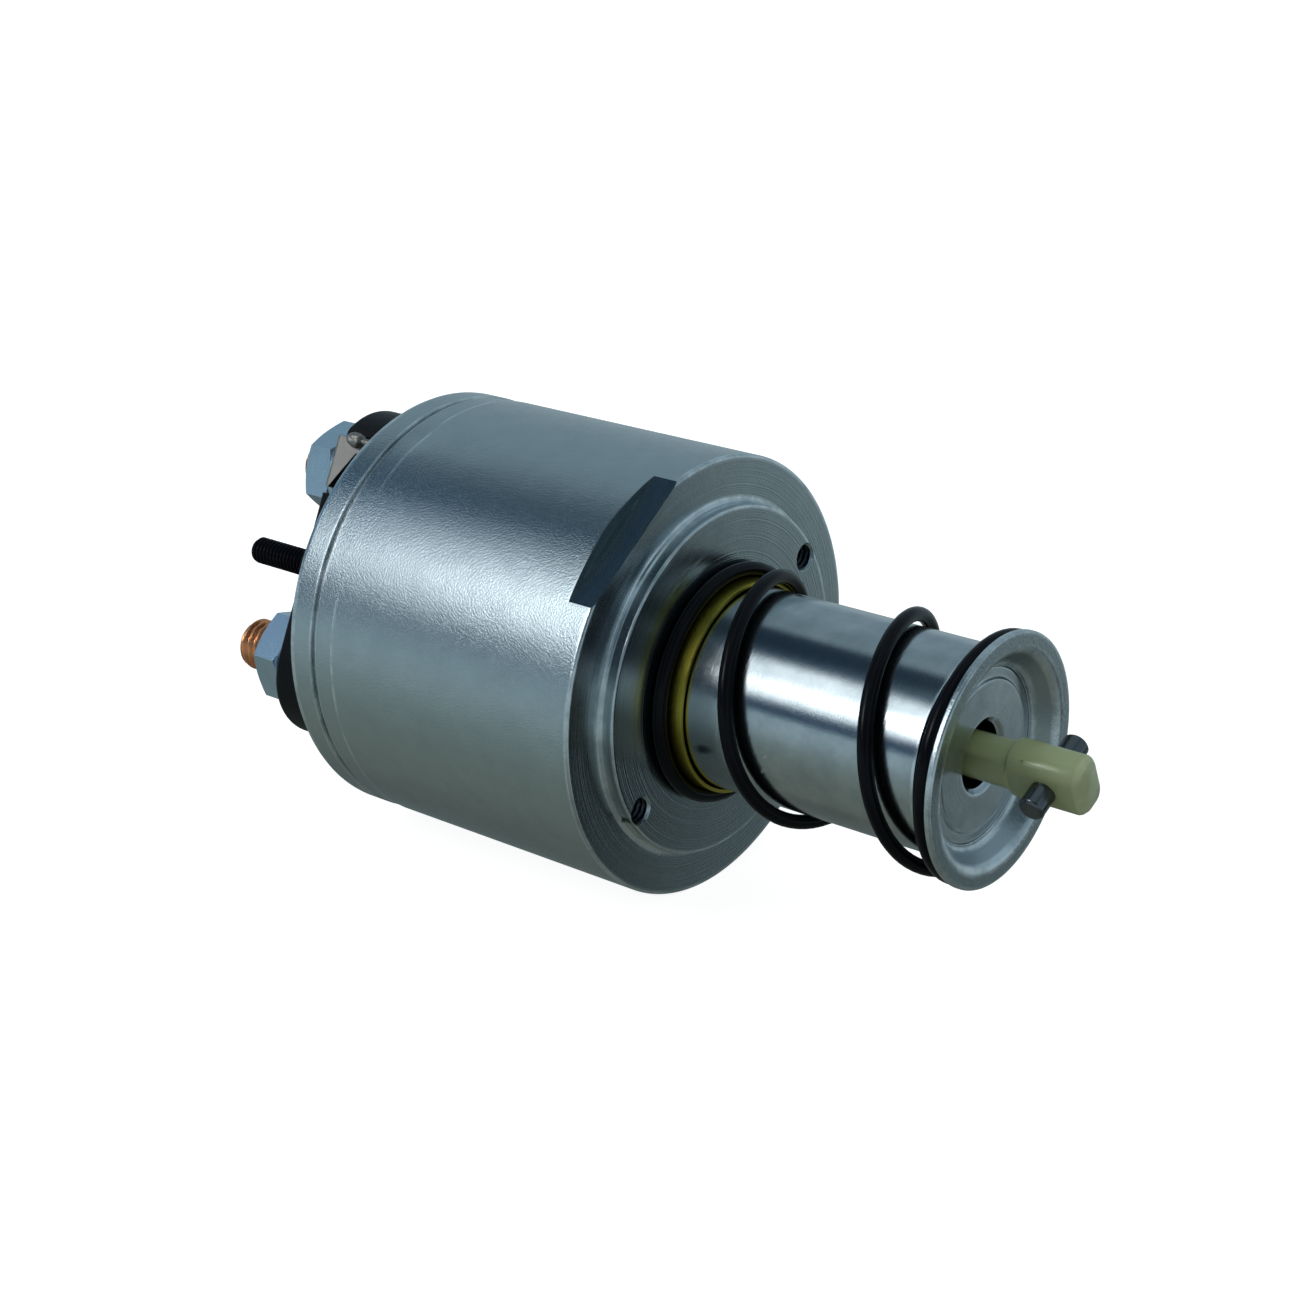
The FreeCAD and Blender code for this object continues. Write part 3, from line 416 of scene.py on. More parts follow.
def new_piece(name, mesh, finish, body, replaced=()):
    """A finished piece from a mesh in metres, riding on a body."""
    piece = placed(name, mesh)
    dress(piece, finish)
    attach(piece, body)
    if replaced:
        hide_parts(*replaced)
    return piece


def smooth_shape(mesh, sharp_angle=35.0):
    """Smooth shading, with sharp edges where the surface turns by more than an angle."""
    shape = bmesh.new()
    shape.from_mesh(mesh)
    for face in shape.faces:
        face.smooth = True
    for edge in shape.edges:
        edge.smooth = edge.is_manifold and edge.calc_face_angle() < math.radians(sharp_angle)
    shape.to_mesh(mesh)
    shape.free()


def rounded_outline(corners, arc_points=5, margin=0.35):
    """Points (x, radius, wear_and_painted_sheen) of a closed outline whose corners (x, radius,
    round) are rounded.

    A plain point stands margin beside each round, so that the lighter edge colour of wear and
    painted sheen stays on the edge.
    """
    points = []
    count = len(corners)
    for spot, (x, radius, bend) in enumerate(corners):
        corner = Vector((x, radius))
        before = Vector(corners[spot - 1][:2]) - corner
        after = Vector(corners[(spot + 1) % count][:2]) - corner
        if not bend:
            points.append((x, radius, 0.0))
            continue
        first, last = before.normalized(), after.normalized()
        half = first.angle(last) / 2
        reach = bend / math.tan(half)
        middle = corner + (first + last).normalized() * (bend / math.sin(half))
        start, end = corner + first * reach, corner + last * reach
        if before.length > 2 * (reach + margin):
            points.append((*(start + first * margin), 0.0))
        for step in range(arc_points + 1):
            share = step / arc_points
            away = ((start - middle) * (1 - share) + (end - middle) * share).normalized() * bend
            points.append((*(middle + away), 1.0))
        if after.length > 2 * (reach + margin):
            points.append((*(end + last * margin), 0.0))
    return points


def turned_mesh(name, corners, steps=160, spot=(0.0, 0.0), shift=None):
    """A closed outline turned about an axis along X through spot. shift moves each point."""
    outline = rounded_outline(corners)
    shape = bmesh.new()
    # Each rounded edge is marked for the lighter colour of wear and painted sheen.
    wear_and_painted_sheen = shape.verts.layers.float.new("wear_and_painted_sheen")
    rings = []
    for x, radius, wear_and_painted_sheen_share in outline:
        ring = []
        for step in range(steps if radius > 1e-6 else 1):
            angle = 2 * math.pi * step / steps
            place = (x, max(radius, 0.0), angle)
            along, reach, turn = shift(*place) if shift else place
            vertex = shape.verts.new((
                along * MM,
                (spot[0] + reach * math.cos(turn)) * MM,
                (spot[1] + reach * math.sin(turn)) * MM,
            ))
            vertex[wear_and_painted_sheen] = wear_and_painted_sheen_share
            ring.append(vertex)
        rings.append(ring)
    for here, there in zip(rings, rings[1:] + rings[:1]):
        for step in range(steps):
            following = (step + 1) % steps
            if len(here) > 1 and len(there) > 1:
                shape.faces.new((here[step], here[following], there[following], there[step]))
            elif len(here) > 1:
                shape.faces.new((here[step], here[following], there[0]))
            elif len(there) > 1:
                shape.faces.new((here[0], there[following], there[step]))
    bmesh.ops.recalc_face_normals(shape, faces=shape.faces)
    return finished_mesh(shape, name)


def mesh_from_tree(tree, values, material):
    """The plain mesh that a geometry tree makes from its named values."""
    start = placed("start", bpy.data.meshes.new("start"))
    modifier = start.modifiers.new("made", "NODES")
    modifier.node_group = tree
    names = {item.name: item.identifier for item in tree.interface.items_tree}
    for label, value in values.items():
        modifier[names[label]] = value
    modifier[names["Material"]] = material
    depsgraph = bpy.context.evaluated_depsgraph_get()
    made = bpy.data.meshes.new_from_object(start.evaluated_get(depsgraph))
    start.modifiers.remove(modifier)
    bpy.data.objects.remove(start)
    return made


def close_tree(tree, given, result, geometry):
    """The last steps of every geometry tree: real geometry with its material."""
    real = add(tree, "GeometryNodeRealizeInstances", {0: geometry}).outputs[0]
    dressed = add(
        tree, "GeometryNodeSetMaterial", {"Geometry": real, "Material": given["Material"]}
    ).outputs[0]
    tree.links.new(dressed, result.inputs["Geometry"])
    return tree


def make_coil_tree():
    """A compression spring's wire along a helix that flattens into a closed coil at each end."""
    labels = (
        "Wire radius", "Back radius", "Front radius", "Waist", "Back place", "Rise", "Start",
        "Flat angle", "Climb angle", "Blend angle",
    )
    tree, given, result = new_group(
        "coil spring", "GeometryNodeTree",
        [(label, "NodeSocketFloat", 0.0) for label in labels]
        + [("Points", "NodeSocketInt", 400), ("Material", "NodeSocketMaterial", None)],
        [("Geometry", "NodeSocketGeometry")],
    )
    line = add(tree, "GeometryNodeCurvePrimitiveLine").outputs[0]
    fine = add(
        tree, "GeometryNodeResampleCurve", {"Curve": line, "Count": given["Points"]}
    ).outputs[0]
    share = add(tree, "GeometryNodeSplineParameter").outputs["Factor"]
    total = calc(tree, "MULTIPLY_ADD", given["Flat angle"], 2.0, given["Climb angle"])
    angle = calc(tree, "MULTIPLY", share, total)
    half_blend = calc(tree, "DIVIDE", given["Blend angle"], 2.0)
    past_flat = calc(tree, "SUBTRACT", angle, given["Flat angle"])
    past_flat = calc(tree, "SUBTRACT", past_flat, half_blend)
    steady = calc(tree, "SUBTRACT", given["Climb angle"], given["Blend angle"])
    climbed = calc(tree, "DIVIDE", past_flat, steady)
    ease = calc(tree, "DIVIDE", given["Blend angle"], steady)
    climbed = calc(tree, "SMOOTH_MAX", climbed, 0.0, ease)
    climbed = calc(tree, "SMOOTH_MIN", climbed, 1.0, ease)
    widening = calc(tree, "SUBTRACT", given["Front radius"], given["Back radius"])
    reach = calc(tree, "MULTIPLY_ADD", widening, climbed, given["Back radius"])
    left = calc(tree, "SUBTRACT", 1.0, climbed)
    bow = calc(tree, "MULTIPLY", calc(tree, "MULTIPLY", climbed, left), 4.0)
    waist = calc(tree, "MULTIPLY", calc(tree, "MULTIPLY", bow, bow), given["Waist"])
    reach = calc(tree, "SUBTRACT", reach, waist)
    turn = calc(tree, "ADD", angle, given["Start"])
    place = add(tree, "ShaderNodeCombineXYZ", {
        "X": calc(tree, "MULTIPLY_ADD", given["Rise"], climbed, given["Back place"]),
        "Y": calc(tree, "MULTIPLY", reach, calc(tree, "COSINE", turn)),
        "Z": calc(tree, "MULTIPLY", reach, calc(tree, "SINE", turn)),
    }).outputs[0]
    wound = add(tree, "GeometryNodeSetPosition", {"Geometry": fine, "Position": place}).outputs[0]
    section = add(
        tree, "GeometryNodeCurvePrimitiveCircle", {"Resolution": 20, "Radius": given["Wire radius"]}
    ).outputs[0]
    wire = add(
        tree, "GeometryNodeCurveToMesh",
        {"Curve": wound, "Profile Curve": section, "Fill Caps": True},
    ).outputs[0]
    return close_tree(tree, given, result, wire)


def make_thread_tree():
    """A rolled thread: a bar whose skin follows a right-hand helix, with a coned point."""
    labels = ("Radius", "Depth", "Pitch", "Root place", "Point place", "Cone", "Across", "Up")
    tree, given, result = new_group(
        "rolled thread", "GeometryNodeTree",
        [(label, "NodeSocketFloat", 0.0) for label in labels]
        + [("Rings", "NodeSocketInt", 100), ("Steps", "NodeSocketInt", 48),
           ("Material", "NodeSocketMaterial", None)],
        [("Geometry", "NodeSocketGeometry")],
    )
    root = add(tree, "ShaderNodeCombineXYZ", {"X": given["Root place"]}).outputs[0]
    tip = add(tree, "ShaderNodeCombineXYZ", {"X": given["Point place"]}).outputs[0]
    line = add(tree, "GeometryNodeCurvePrimitiveLine", {"Start": root, "End": tip}).outputs[0]
    fine = add(
        tree, "GeometryNodeResampleCurve", {"Curve": line, "Count": given["Rings"]}
    ).outputs[0]
    section = add(
        tree, "GeometryNodeCurvePrimitiveCircle",
        {"Resolution": given["Steps"], "Radius": given["Radius"]},
    ).outputs[0]
    bar = add(
        tree, "GeometryNodeCurveToMesh",
        {"Curve": fine, "Profile Curve": section, "Fill Caps": True},
    ).outputs[0]
    here = add(tree, "GeometryNodeInputPosition").outputs[0]
    part = add(tree, "ShaderNodeSeparateXYZ", {0: here}).outputs
    angle = calc(tree, "ARCTAN2", part["Z"], part["Y"])
    turns = calc(tree, "DIVIDE", part["X"], given["Pitch"])
    phase = calc(tree, "MULTIPLY_ADD", angle, -0.5 / math.pi, turns)
    flank = calc(tree, "MULTIPLY", calc(tree, "PINGPONG", phase, 0.5), 2.0)
    flank = calc(tree, "MULTIPLY_ADD", flank, 1.6, -0.3, clamp=True)
    cut = calc(tree, "MULTIPLY", flank, given["Depth"])
    skin = calc(tree, "SUBTRACT", given["Radius"], cut)
    from_tip = calc(tree, "ABSOLUTE", calc(tree, "SUBTRACT", part["X"], given["Point place"]))
    end_radius = calc(tree, "SUBTRACT", given["Radius"], given["Cone"])
    cone = calc(tree, "ADD", end_radius, from_tip)
    reach = calc(tree, "SMOOTH_MIN", skin, cone, 0.1 * MM)
    moved = add(tree, "ShaderNodeCombineXYZ", {
        "X": part["X"],
        "Y": calc(tree, "MULTIPLY_ADD", reach, calc(tree, "COSINE", angle), given["Across"]),
        "Z": calc(tree, "MULTIPLY_ADD", reach, calc(tree, "SINE", angle), given["Up"]),
    }).outputs[0]
    threaded = add(tree, "GeometryNodeSetPosition", {"Geometry": bar, "Position": moved}).outputs[0]
    return close_tree(tree, given, result, threaded)


SHARP_TURN = math.radians(28.0)
COIL_TREE = make_coil_tree()
THREAD_TREE = make_thread_tree()


def coil_mesh(name, finish, wire, back, front, turns, radii, start=0.0, waist=0.0):
    """A wound spring between two places, in millimetres, with radii at its back and front."""
    rise = front - back - wire
    blend = math.radians(40.0)
    climb = 2 * math.pi * turns + blend
    pitch = rise / turns
    flat = 2 * math.pi * (1 - 1.1 * wire / pitch) - blend / 2
    total = 2 * flat + climb
    mesh = mesh_from_tree(COIL_TREE, {
        "Wire radius": wire / 2 * MM, "Back radius": radii[0] * MM, "Front radius": radii[1] * MM,
        "Waist": waist * MM, "Back place": (back + wire / 2) * MM, "Rise": rise * MM,
        "Start": math.radians(start), "Flat angle": flat, "Climb angle": climb,
        "Blend angle": blend, "Points": math.ceil(total / math.radians(5.0)),
    }, FINISHES[finish])
    mesh.name = name
    smooth_shape(mesh, 50.0)
    return mesh


def thread_mesh(radius, depth, pitch, root, tip, cone, spot, steps=48):
    """A threaded bar from root to tip along X, in millimetres."""
    rings = math.ceil(abs(tip - root) / pitch * 10)
    mesh = mesh_from_tree(THREAD_TREE, {
        "Radius": radius * MM, "Depth": depth * MM, "Pitch": pitch * MM, "Root place": root * MM,
        "Point place": tip * MM, "Cone": cone * MM, "Across": spot[0] * MM, "Up": spot[1] * MM,
        "Rings": rings, "Steps": steps,
    }, FINISHES["copper"])
    shape = bmesh.new()
    shape.from_mesh(mesh)
    bmesh.ops.recalc_face_normals(shape, faces=shape.faces)
    shape.to_mesh(mesh)
    shape.free()
    return mesh


def joined(name, *meshes):
    """One mesh from several."""
    shape = bmesh.new()
    for mesh in meshes:
        shape.from_mesh(mesh)
    return finished_mesh(shape, name)


def cut_away(mesh, *tools):
    """A mesh with the volumes of other meshes cut out of it."""
    block = placed("block", mesh)
    cutters = []
    for tool in tools:
        cutter = placed("cutter", tool)
        modifier = block.modifiers.new("cut", "BOOLEAN")
        modifier.operation = "DIFFERENCE"
        modifier.solver = "EXACT"
        modifier.object = cutter
        cutters.append(cutter)
    depsgraph = bpy.context.evaluated_depsgraph_get()
    made = bpy.data.meshes.new_from_object(block.evaluated_get(depsgraph))
    for left_over in (block, *cutters):
        bpy.data.objects.remove(left_over)
    return made


def softened_piece(name, node, edge, body):
    """A node's own shape with its edges broken, in millimetres, standing for that node."""
    shape = bmesh.new()
    shape.from_mesh(nodes[node].data)
    bmesh.ops.remove_doubles(shape, verts=shape.verts, dist=0.0005 * MM)
    bmesh.ops.dissolve_limit(
        shape, angle_limit=math.radians(0.3), verts=shape.verts, edges=shape.edges
    )
    edges = [
        line for line in shape.edges
        if line.is_manifold and line.calc_face_angle() > SHARP_TURN
    ]
    bmesh.ops.bevel(
        shape, geom=edges, offset=edge * MM, segments=2, profile=0.5, affect="EDGES",
        clamp_overlap=True,
    )
    for face in shape.faces:
        face.smooth = True
    piece = new_piece(name, finished_mesh(shape, name), SLOT_OF[node], body, [node])
    even = piece.modifiers.new("even shading", "WEIGHTED_NORMAL")
    even.weight = 80
    return piece


# The can

FRONT = high_of("housing").x
RIM = low_of("housing").x
CAN_RADIUS = high_of("housing").y
BOSS_HEIGHT = 2.2
BOSS_RADIUS = 24.5
GROOVE_FRONT = RIM + 5.3
STRIP_FRONT = GROOVE_FRONT + 3.2
BOLT_RADIUS = 22.5
BOLT_ANGLES = (math.radians(36.0), math.radians(216.0))
NOTCH_ANGLE = math.radians(126.5)
NOTCH_DISTANCE = CAN_RADIUS - 1.96
NOTCH_BACK = -6.2
DENT_PLACE = (-45.2, math.radians(111.0))
DENT_LENGTH = 2.4
DENT_WIDTH = 2.8
DENT_DEPTH = 0.26
THREAD_RADIUS = 1.97
STRIP_DEPTH = 0.15
GROOVE_DEPTH = 0.6
GROOVE_WIDTH = 0.6
WALL_BACK = -10.5
SEAT_FRONT = -42.5


def box_mesh(low, high, turn):
    """A block between two corners, in millimetres, turned about the X axis."""
    shape = bmesh.new()
    bmesh.ops.create_cube(shape, size=1.0)
    for vertex in shape.verts:
        spot = Vector([
            (low[axis] + (vertex.co[axis] + 0.5) * (high[axis] - low[axis])) * MM
            for axis in range(3)
        ])
        spot.rotate(Quaternion((1, 0, 0), turn))
        vertex.co = spot
    return finished_mesh(shape, "block")


def dented(x, radius, angle):
    """Move a point of the can's skin inwards round the small dent above the crimped groove."""
    if radius < CAN_RADIUS - 1.5:
        return x, radius, angle
    along = (x - DENT_PLACE[0]) / DENT_LENGTH
    round_the_can = (angle - DENT_PLACE[1]) * CAN_RADIUS / DENT_WIDTH
    depth = DENT_DEPTH * math.exp(-(along * along + round_the_can * round_the_can))
    return x, radius - depth, angle


def mark_surfaces(mesh):
    """Mark painted shade on the threads in the holes and in the groove, which little light reaches,
    and mark the machined faces.
    """
    spots = [spot_at(BOLT_RADIUS, angle) for angle in BOLT_ANGLES]
    reach = THREAD_RADIUS + 0.18
    painted_recess_shade, faced = [], []
    for vertex in mesh.vertices:
        x, y, z = vertex.co / MM
        near_hole = any(math.hypot(y - across, z - up) < reach for across, up in spots)
        below_skin = math.hypot(y, z) < CAN_RADIUS - GROOVE_DEPTH / 2
        in_groove = abs(x - GROOVE_FRONT + 0.36) < 0.32 and below_skin
        outwards = y * math.cos(NOTCH_ANGLE) + z * math.sin(NOTCH_ANGLE)
        in_notch = x > NOTCH_BACK - 0.01 and outwards > NOTCH_DISTANCE - 0.01
        in_front = x > -BOSS_HEIGHT - 0.3 and not (near_hole and x < -0.05)
        # Painted shade: full on the threads in the holes, 0.35 in the groove.
        painted_recess_shade.append(1.0 if near_hole and x < -0.35 else 0.35 * in_groove)
        faced.append(1.0 if in_front or in_notch else 0.0)
    for name, values in (("painted_recess_shade", painted_recess_shade), ("faced", faced)):
        mesh.attributes.new(name, "FLOAT", "POINT").data.foreach_set("value", values)


def make_can():
    """The steel can, with tapped holes, the milled flat, the crimped groove and a small dent."""
    tube_bore, can_bore, seat, lip = 14.9, 27.6, 28.2, 26.5
    outline = [
        (FRONT, tube_bore, 0.2), (FRONT, BOSS_RADIUS, 0.3), (-BOSS_HEIGHT, BOSS_RADIUS, 0.8),
        (-BOSS_HEIGHT, CAN_RADIUS, 0.4), (-6.5, CAN_RADIUS, 0), (-16.0, CAN_RADIUS, 0),
        (-28.0, CAN_RADIUS, 0),
    ]
    outline += [(STRIP_FRONT + 3.0 - 0.4 * step, CAN_RADIUS, 0) for step in range(7)]
    outline += [(STRIP_FRONT, CAN_RADIUS, 0.06)]
    outline += [(STRIP_FRONT - 0.12, CAN_RADIUS - STRIP_DEPTH, 0.05)]
    steps = 8
    strip_length = STRIP_FRONT - GROOVE_FRONT - 0.5
    outline += [
        (STRIP_FRONT - 0.3 - strip_length * step / steps, CAN_RADIUS - STRIP_DEPTH, 0)
        for step in range(steps + 1)
    ]
    outline += [
        (GROOVE_FRONT, CAN_RADIUS - 0.13, 0.08),
        (GROOVE_FRONT - 0.12, CAN_RADIUS - GROOVE_DEPTH, 0.1),
        (GROOVE_FRONT - GROOVE_WIDTH, CAN_RADIUS - GROOVE_DEPTH, 0.1),
        (GROOVE_FRONT - GROOVE_WIDTH - 0.15, CAN_RADIUS, 0.12),
        (RIM, CAN_RADIUS, 1.2), (RIM, lip, 0.3), (RIM + 1.5, lip, 0), (RIM + 1.5, seat, 0),
        (SEAT_FRONT, seat, 0), (SEAT_FRONT, can_bore, 0), (WALL_BACK, can_bore, 0),
        (WALL_BACK, tube_bore, 0),
    ]
    can = turned_mesh("can_shell", outline, 256, shift=dented)
    cutters = [box_mesh((NOTCH_BACK, NOTCH_DISTANCE, -20.0), (1.0, 34.0, 20.0), NOTCH_ANGLE)]
    for angle in BOLT_ANGLES:
        spot = spot_at(BOLT_RADIUS, angle)
        cutters.append(thread_mesh(THREAD_RADIUS, 0.3, 0.8, -8.0, 0.6, 0.0, spot, 40))
        cutters.append(turned_mesh("countersink", [
            (0.5, 0.0, 0), (0.5, 2.6, 0), (-0.35, 1.75, 0), (-0.35, 0.0, 0),
        ], 40, spot))
    whole = cut_away(can, *cutters)
    whole.name = "can_shell"
    mark_surfaces(whole)
    smooth_shape(whole, 19.5)
    return new_piece("can_shell", whole, "zinc_steel", "can", ["housing"])


# Plunger, pressed cup and return spring

PLUNGER_BACK = low_of("plunger").x
NOSE = high_of("plunger").x
PLUNGER_RADIUS = 14.05
SHOULDER = low_of("spring_cup").x
CUP_FRONT = high_of("spring_cup").x
CUP_RADIUS = 17.05
CUP_SHEET = 1.0
CUP_BORE = 11.75
PLUNGER_BORE = 9.0
BORE_END = 36.0
NOSE_RADIUS = 11.7
NOSE_HOLE = 4.5


def make_plunger():
    """The turned plunger: hollow, with a chamfered shoulder and a nose staked over the cup."""
    mesh = turned_mesh("plunger_body", [
        (PLUNGER_BACK, PLUNGER_BORE, 0.1), (PLUNGER_BACK, PLUNGER_RADIUS - 0.5, 0.15),
        (PLUNGER_BACK + 0.5, PLUNGER_RADIUS, 0.3), (SHOULDER - 0.5, PLUNGER_RADIUS, 0.3),
        (SHOULDER, PLUNGER_RADIUS - 0.5, 0.1), (SHOULDER, NOSE_RADIUS, 0),
        (NOSE - 0.35, NOSE_RADIUS, 0.12), (NOSE - 0.38, 10.35, 0.15), (NOSE, 10.1, 0.15),
        (NOSE, 5.2, 0.1), (NOSE - 0.7, NOSE_HOLE, 0.12), (BORE_END, NOSE_HOLE, 0.1),
        (BORE_END, PLUNGER_BORE, 0.1),
    ], 192)
    smooth_shape(mesh, 40.0)
    return new_piece(
        "plunger_body", mesh, "plunger_steel", "plunger_group", ["plunger"]
    )


def make_cup():
    """The spring cup, pressed from sheet: a flat ring, a flared throat and a narrow flange."""
    back, flange_back = SHOULDER, CUP_FRONT - CUP_SHEET
    mesh = turned_mesh("pressed_cup", [
        (back, CUP_BORE, 0.1), (back, 13.0, 0.5), (flange_back, 14.9, 0.6),
        (flange_back, CUP_RADIUS, 0.25), (CUP_FRONT, CUP_RADIUS, 0.35), (CUP_FRONT, 14.3, 1.5),
        (back + CUP_SHEET, 12.4, 0.8), (back + CUP_SHEET, CUP_BORE, 0.1),
    ], 192)
    smooth_shape(mesh, 40.0)
    return new_piece("pressed_cup", mesh, "zinc_steel", "plunger_group", ["spring_cup"])


def make_return_coil():
    """The black return spring, on a mesh of its own."""
    back, front = low_of("return_spring").x, high_of("return_spring").x
    mesh = coil_mesh(
        "return_coil", "black_steel", 2.0, back, front, turns=1.88, radii=(15.9, 15.9),
        start=35.0, waist=0.5,
    )
    piece = new_piece("return_coil", mesh, "black_steel", "can", ["return_spring"])
    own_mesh(piece)
    return piece


def make_hidden_coils():
    """The springs inside; the contact and engagement coils get meshes of their own."""
    back, front = low_of("contact_return_spring").x, high_of("contact_return_spring").x
    mesh = coil_mesh("contact_coil", "bare_steel", 0.7, back, front, 2.6, radii=(6.35, 4.7))
    piece = new_piece("contact_coil", mesh, "bare_steel", "can", ["contact_return_spring"])
    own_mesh(piece)
    back, front = low_of("contact_pressure_spring").x, high_of("contact_pressure_spring").x
    mesh = coil_mesh("pressure_coil", "bare_steel", 1.0, back, front, 5.0, radii=(4.0, 4.0))
    new_piece("pressure_coil", mesh, "bare_steel", "contact_group", ["contact_pressure_spring"])
    back, front = low_of("engagement_spring").x, high_of("engagement_spring").x
    mesh = coil_mesh("engagement_coil", "bare_steel", 1.6, back, front, 6.0, radii=(6.2, 6.2))
    piece = new_piece("engagement_coil", mesh, "bare_steel", "plunger_group", ["engagement_spring"])
    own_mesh(piece)


# Drawbar

DRAWBAR_TURN = math.radians(27.0)
DRAWBAR_BACK = low_of("drawbar").x
DRAWBAR_END = high_of("drawbar").x
HEAD_START = 46.0
CLIP_GROOVE = (-8.5, -7.65)
GATE_PLACE = (48.27, -1.97, 3.53)


def make_drawbar():
    """The moulded nylon drawbar: a round shank, a flat head and the mark of the mould's gate."""
    shank, groove, head = (3.1, 3.1, 3.1), (2.6, 2.6, 2.6), (2.8, 4.0, 2.2)
    sections = [
        (DRAWBAR_BACK, 2.7, 2.7, 2.7), (DRAWBAR_BACK + 0.4, *shank), (CLIP_GROOVE[0], *shank),
        (CLIP_GROOVE[0], *groove), (CLIP_GROOVE[1], *groove), (CLIP_GROOVE[1], *shank),
        (HEAD_START - 0.4, *shank), (HEAD_START - 0.1, 3.0, 3.4, 3.0),
        (HEAD_START + 0.15, 2.75, 3.9, 2.3), (HEAD_START + 0.5, *head),
        (DRAWBAR_END - 0.95, *head), (DRAWBAR_END - 0.6, 2.66, 3.86, 2.06),
        (DRAWBAR_END - 0.12, 2.2, 3.4, 1.6), (DRAWBAR_END, 1.98, 3.2, 1.4),
    ]
    quarter_steps = 8
    shape = bmesh.new()
    wear_and_painted_sheen = shape.verts.layers.float.new("wear_and_painted_sheen")
    rings = []
    for x, half_thick, half_wide, bend in sections:
        ring = []
        for corner in range(4):
            sign_y = (1, -1, -1, 1)[corner]
            sign_z = (1, 1, -1, -1)[corner]
            middle = ((half_thick - bend) * sign_y, (half_wide - bend) * sign_z)
            for step in range(quarter_steps + 1):
                angle = math.pi / 2 * (corner + step / quarter_steps)
                spot = Vector((
                    x, middle[0] + bend * math.cos(angle), middle[1] + bend * math.sin(angle)
                ))
                spot.rotate(Quaternion((1, 0, 0), DRAWBAR_TURN))
                vertex = shape.verts.new(spot * MM)
                # The head's end gets the lighter colour of wear and painted sheen.
                vertex[wear_and_painted_sheen] = 1.0 if x > DRAWBAR_END - 0.7 else 0.0
                ring.append(vertex)
        rings.append(ring)
    count = len(rings[0])
    for here, there in zip(rings, rings[1:]):
        for step in range(count):
            following = (step + 1) % count
            shape.faces.new((here[step], here[following], there[following], there[step]))
    shape.faces.new(rings[0])
    shape.faces.new(rings[-1])
    bmesh.ops.remove_doubles(shape, verts=shape.verts, dist=0.0005 * MM)
    bmesh.ops.recalc_face_normals(shape, faces=shape.faces)
    pit = bmesh.new()
    gate = Vector(GATE_PLACE)
    gate.rotate(Quaternion((1, 0, 0), DRAWBAR_TURN))
    bmesh.ops.create_icosphere(
        pit, subdivisions=3, radius=0.32 * MM, matrix=Matrix.Translation(gate * MM)
    )
    mesh = cut_away(finished_mesh(shape, "drawbar"), finished_mesh(pit, "gate mark"))
    mesh.name = "drawbar_moulding"
    smooth_shape(mesh, 30.0)
    return new_piece("drawbar_moulding", mesh, "natural_nylon", "drawbar_group", ["drawbar"])


# Terminals

HEAD_FACE = -65.5
CAP_END = low_of("terminal_cap").x
STUD_RADIUS = 4.0
HEAD_RADIUS = 6.0
HEAD_BACK = HEAD_FACE - 3.5
CONTROL_RADIUS = 1.95
CONTROL_STEP = -59.0
SOLDER_PLACE = -68.3
SOLDER_SIZE = (1.75, 1.15, 1.15)


def make_stud(name, node, spot):
    """A copper terminal bolt with its rolled thread and coned point."""
    tip = low_of(node).x
    head = turned_mesh("head", [
        (HEAD_FACE, 0, 0), (HEAD_FACE, HEAD_RADIUS, 0.4), (HEAD_BACK, HEAD_RADIUS, 0.2),
        (HEAD_BACK, STUD_RADIUS, 0.1), (CAP_END - 0.8, STUD_RADIUS, 0.3), (CAP_END - 0.8, 0, 0),
    ], 48, spot)
    bar = thread_mesh(STUD_RADIUS, 0.52, 1.25, CAP_END - 0.6, tip, 1.8, spot, 64)
    mesh = joined(name, head, bar)
    smooth_shape(mesh, 38.0)
    return new_piece(name, mesh, "copper", "can", [node])


def make_control_stud():
    """The small black stud, moulded into the cap between the two copper ones."""
    back, tip = high_of("control_stud").x, low_of("control_stud").x
    head = turned_mesh("head", [
        (back, 0, 0), (back, 3.2, 0.2), (back - 1.8, 3.2, 0.2), (back - 1.8, CONTROL_RADIUS, 0),
        (CONTROL_STEP, CONTROL_RADIUS, 0.1), (CONTROL_STEP, 0, 0),
    ], 40, CONTROL_SPOT)
    root = CONTROL_STEP + 0.2
    bar = thread_mesh(CONTROL_RADIUS, 0.36, 0.7, root, tip, 0.4, CONTROL_SPOT, 40)
    mesh = joined("control_stud_thread", head, bar)
    smooth_shape(mesh, 38.0)
    return new_piece("control_stud_thread", mesh, "black_steel", "can", ["control_stud"])


def make_solder():
    """The drop of solder that holds the pull-in lead to the tag."""
    low, high = low_of("pull_in_lead"), high_of("pull_in_lead")
    spot = Vector((SOLDER_PLACE, (low.y + high.y) / 2, (low.z + high.z) / 2))
    shape = bmesh.new()
    bmesh.ops.create_icosphere(shape, subdivisions=5, radius=1.0)
    for vertex in shape.verts:
        lump = 1 + 0.12 * noise.noise(vertex.co * 1.7) + 0.05 * noise.noise(vertex.co * 5.0)
        drop = [value * size for value, size in zip(vertex.co * lump, SOLDER_SIZE)]
        vertex.co = (spot + Vector(drop)) * MM
    for face in shape.faces:
        face.smooth = True
    new_piece("solder_drop", finished_mesh(shape, "solder_drop"), "tinned_copper", "can")


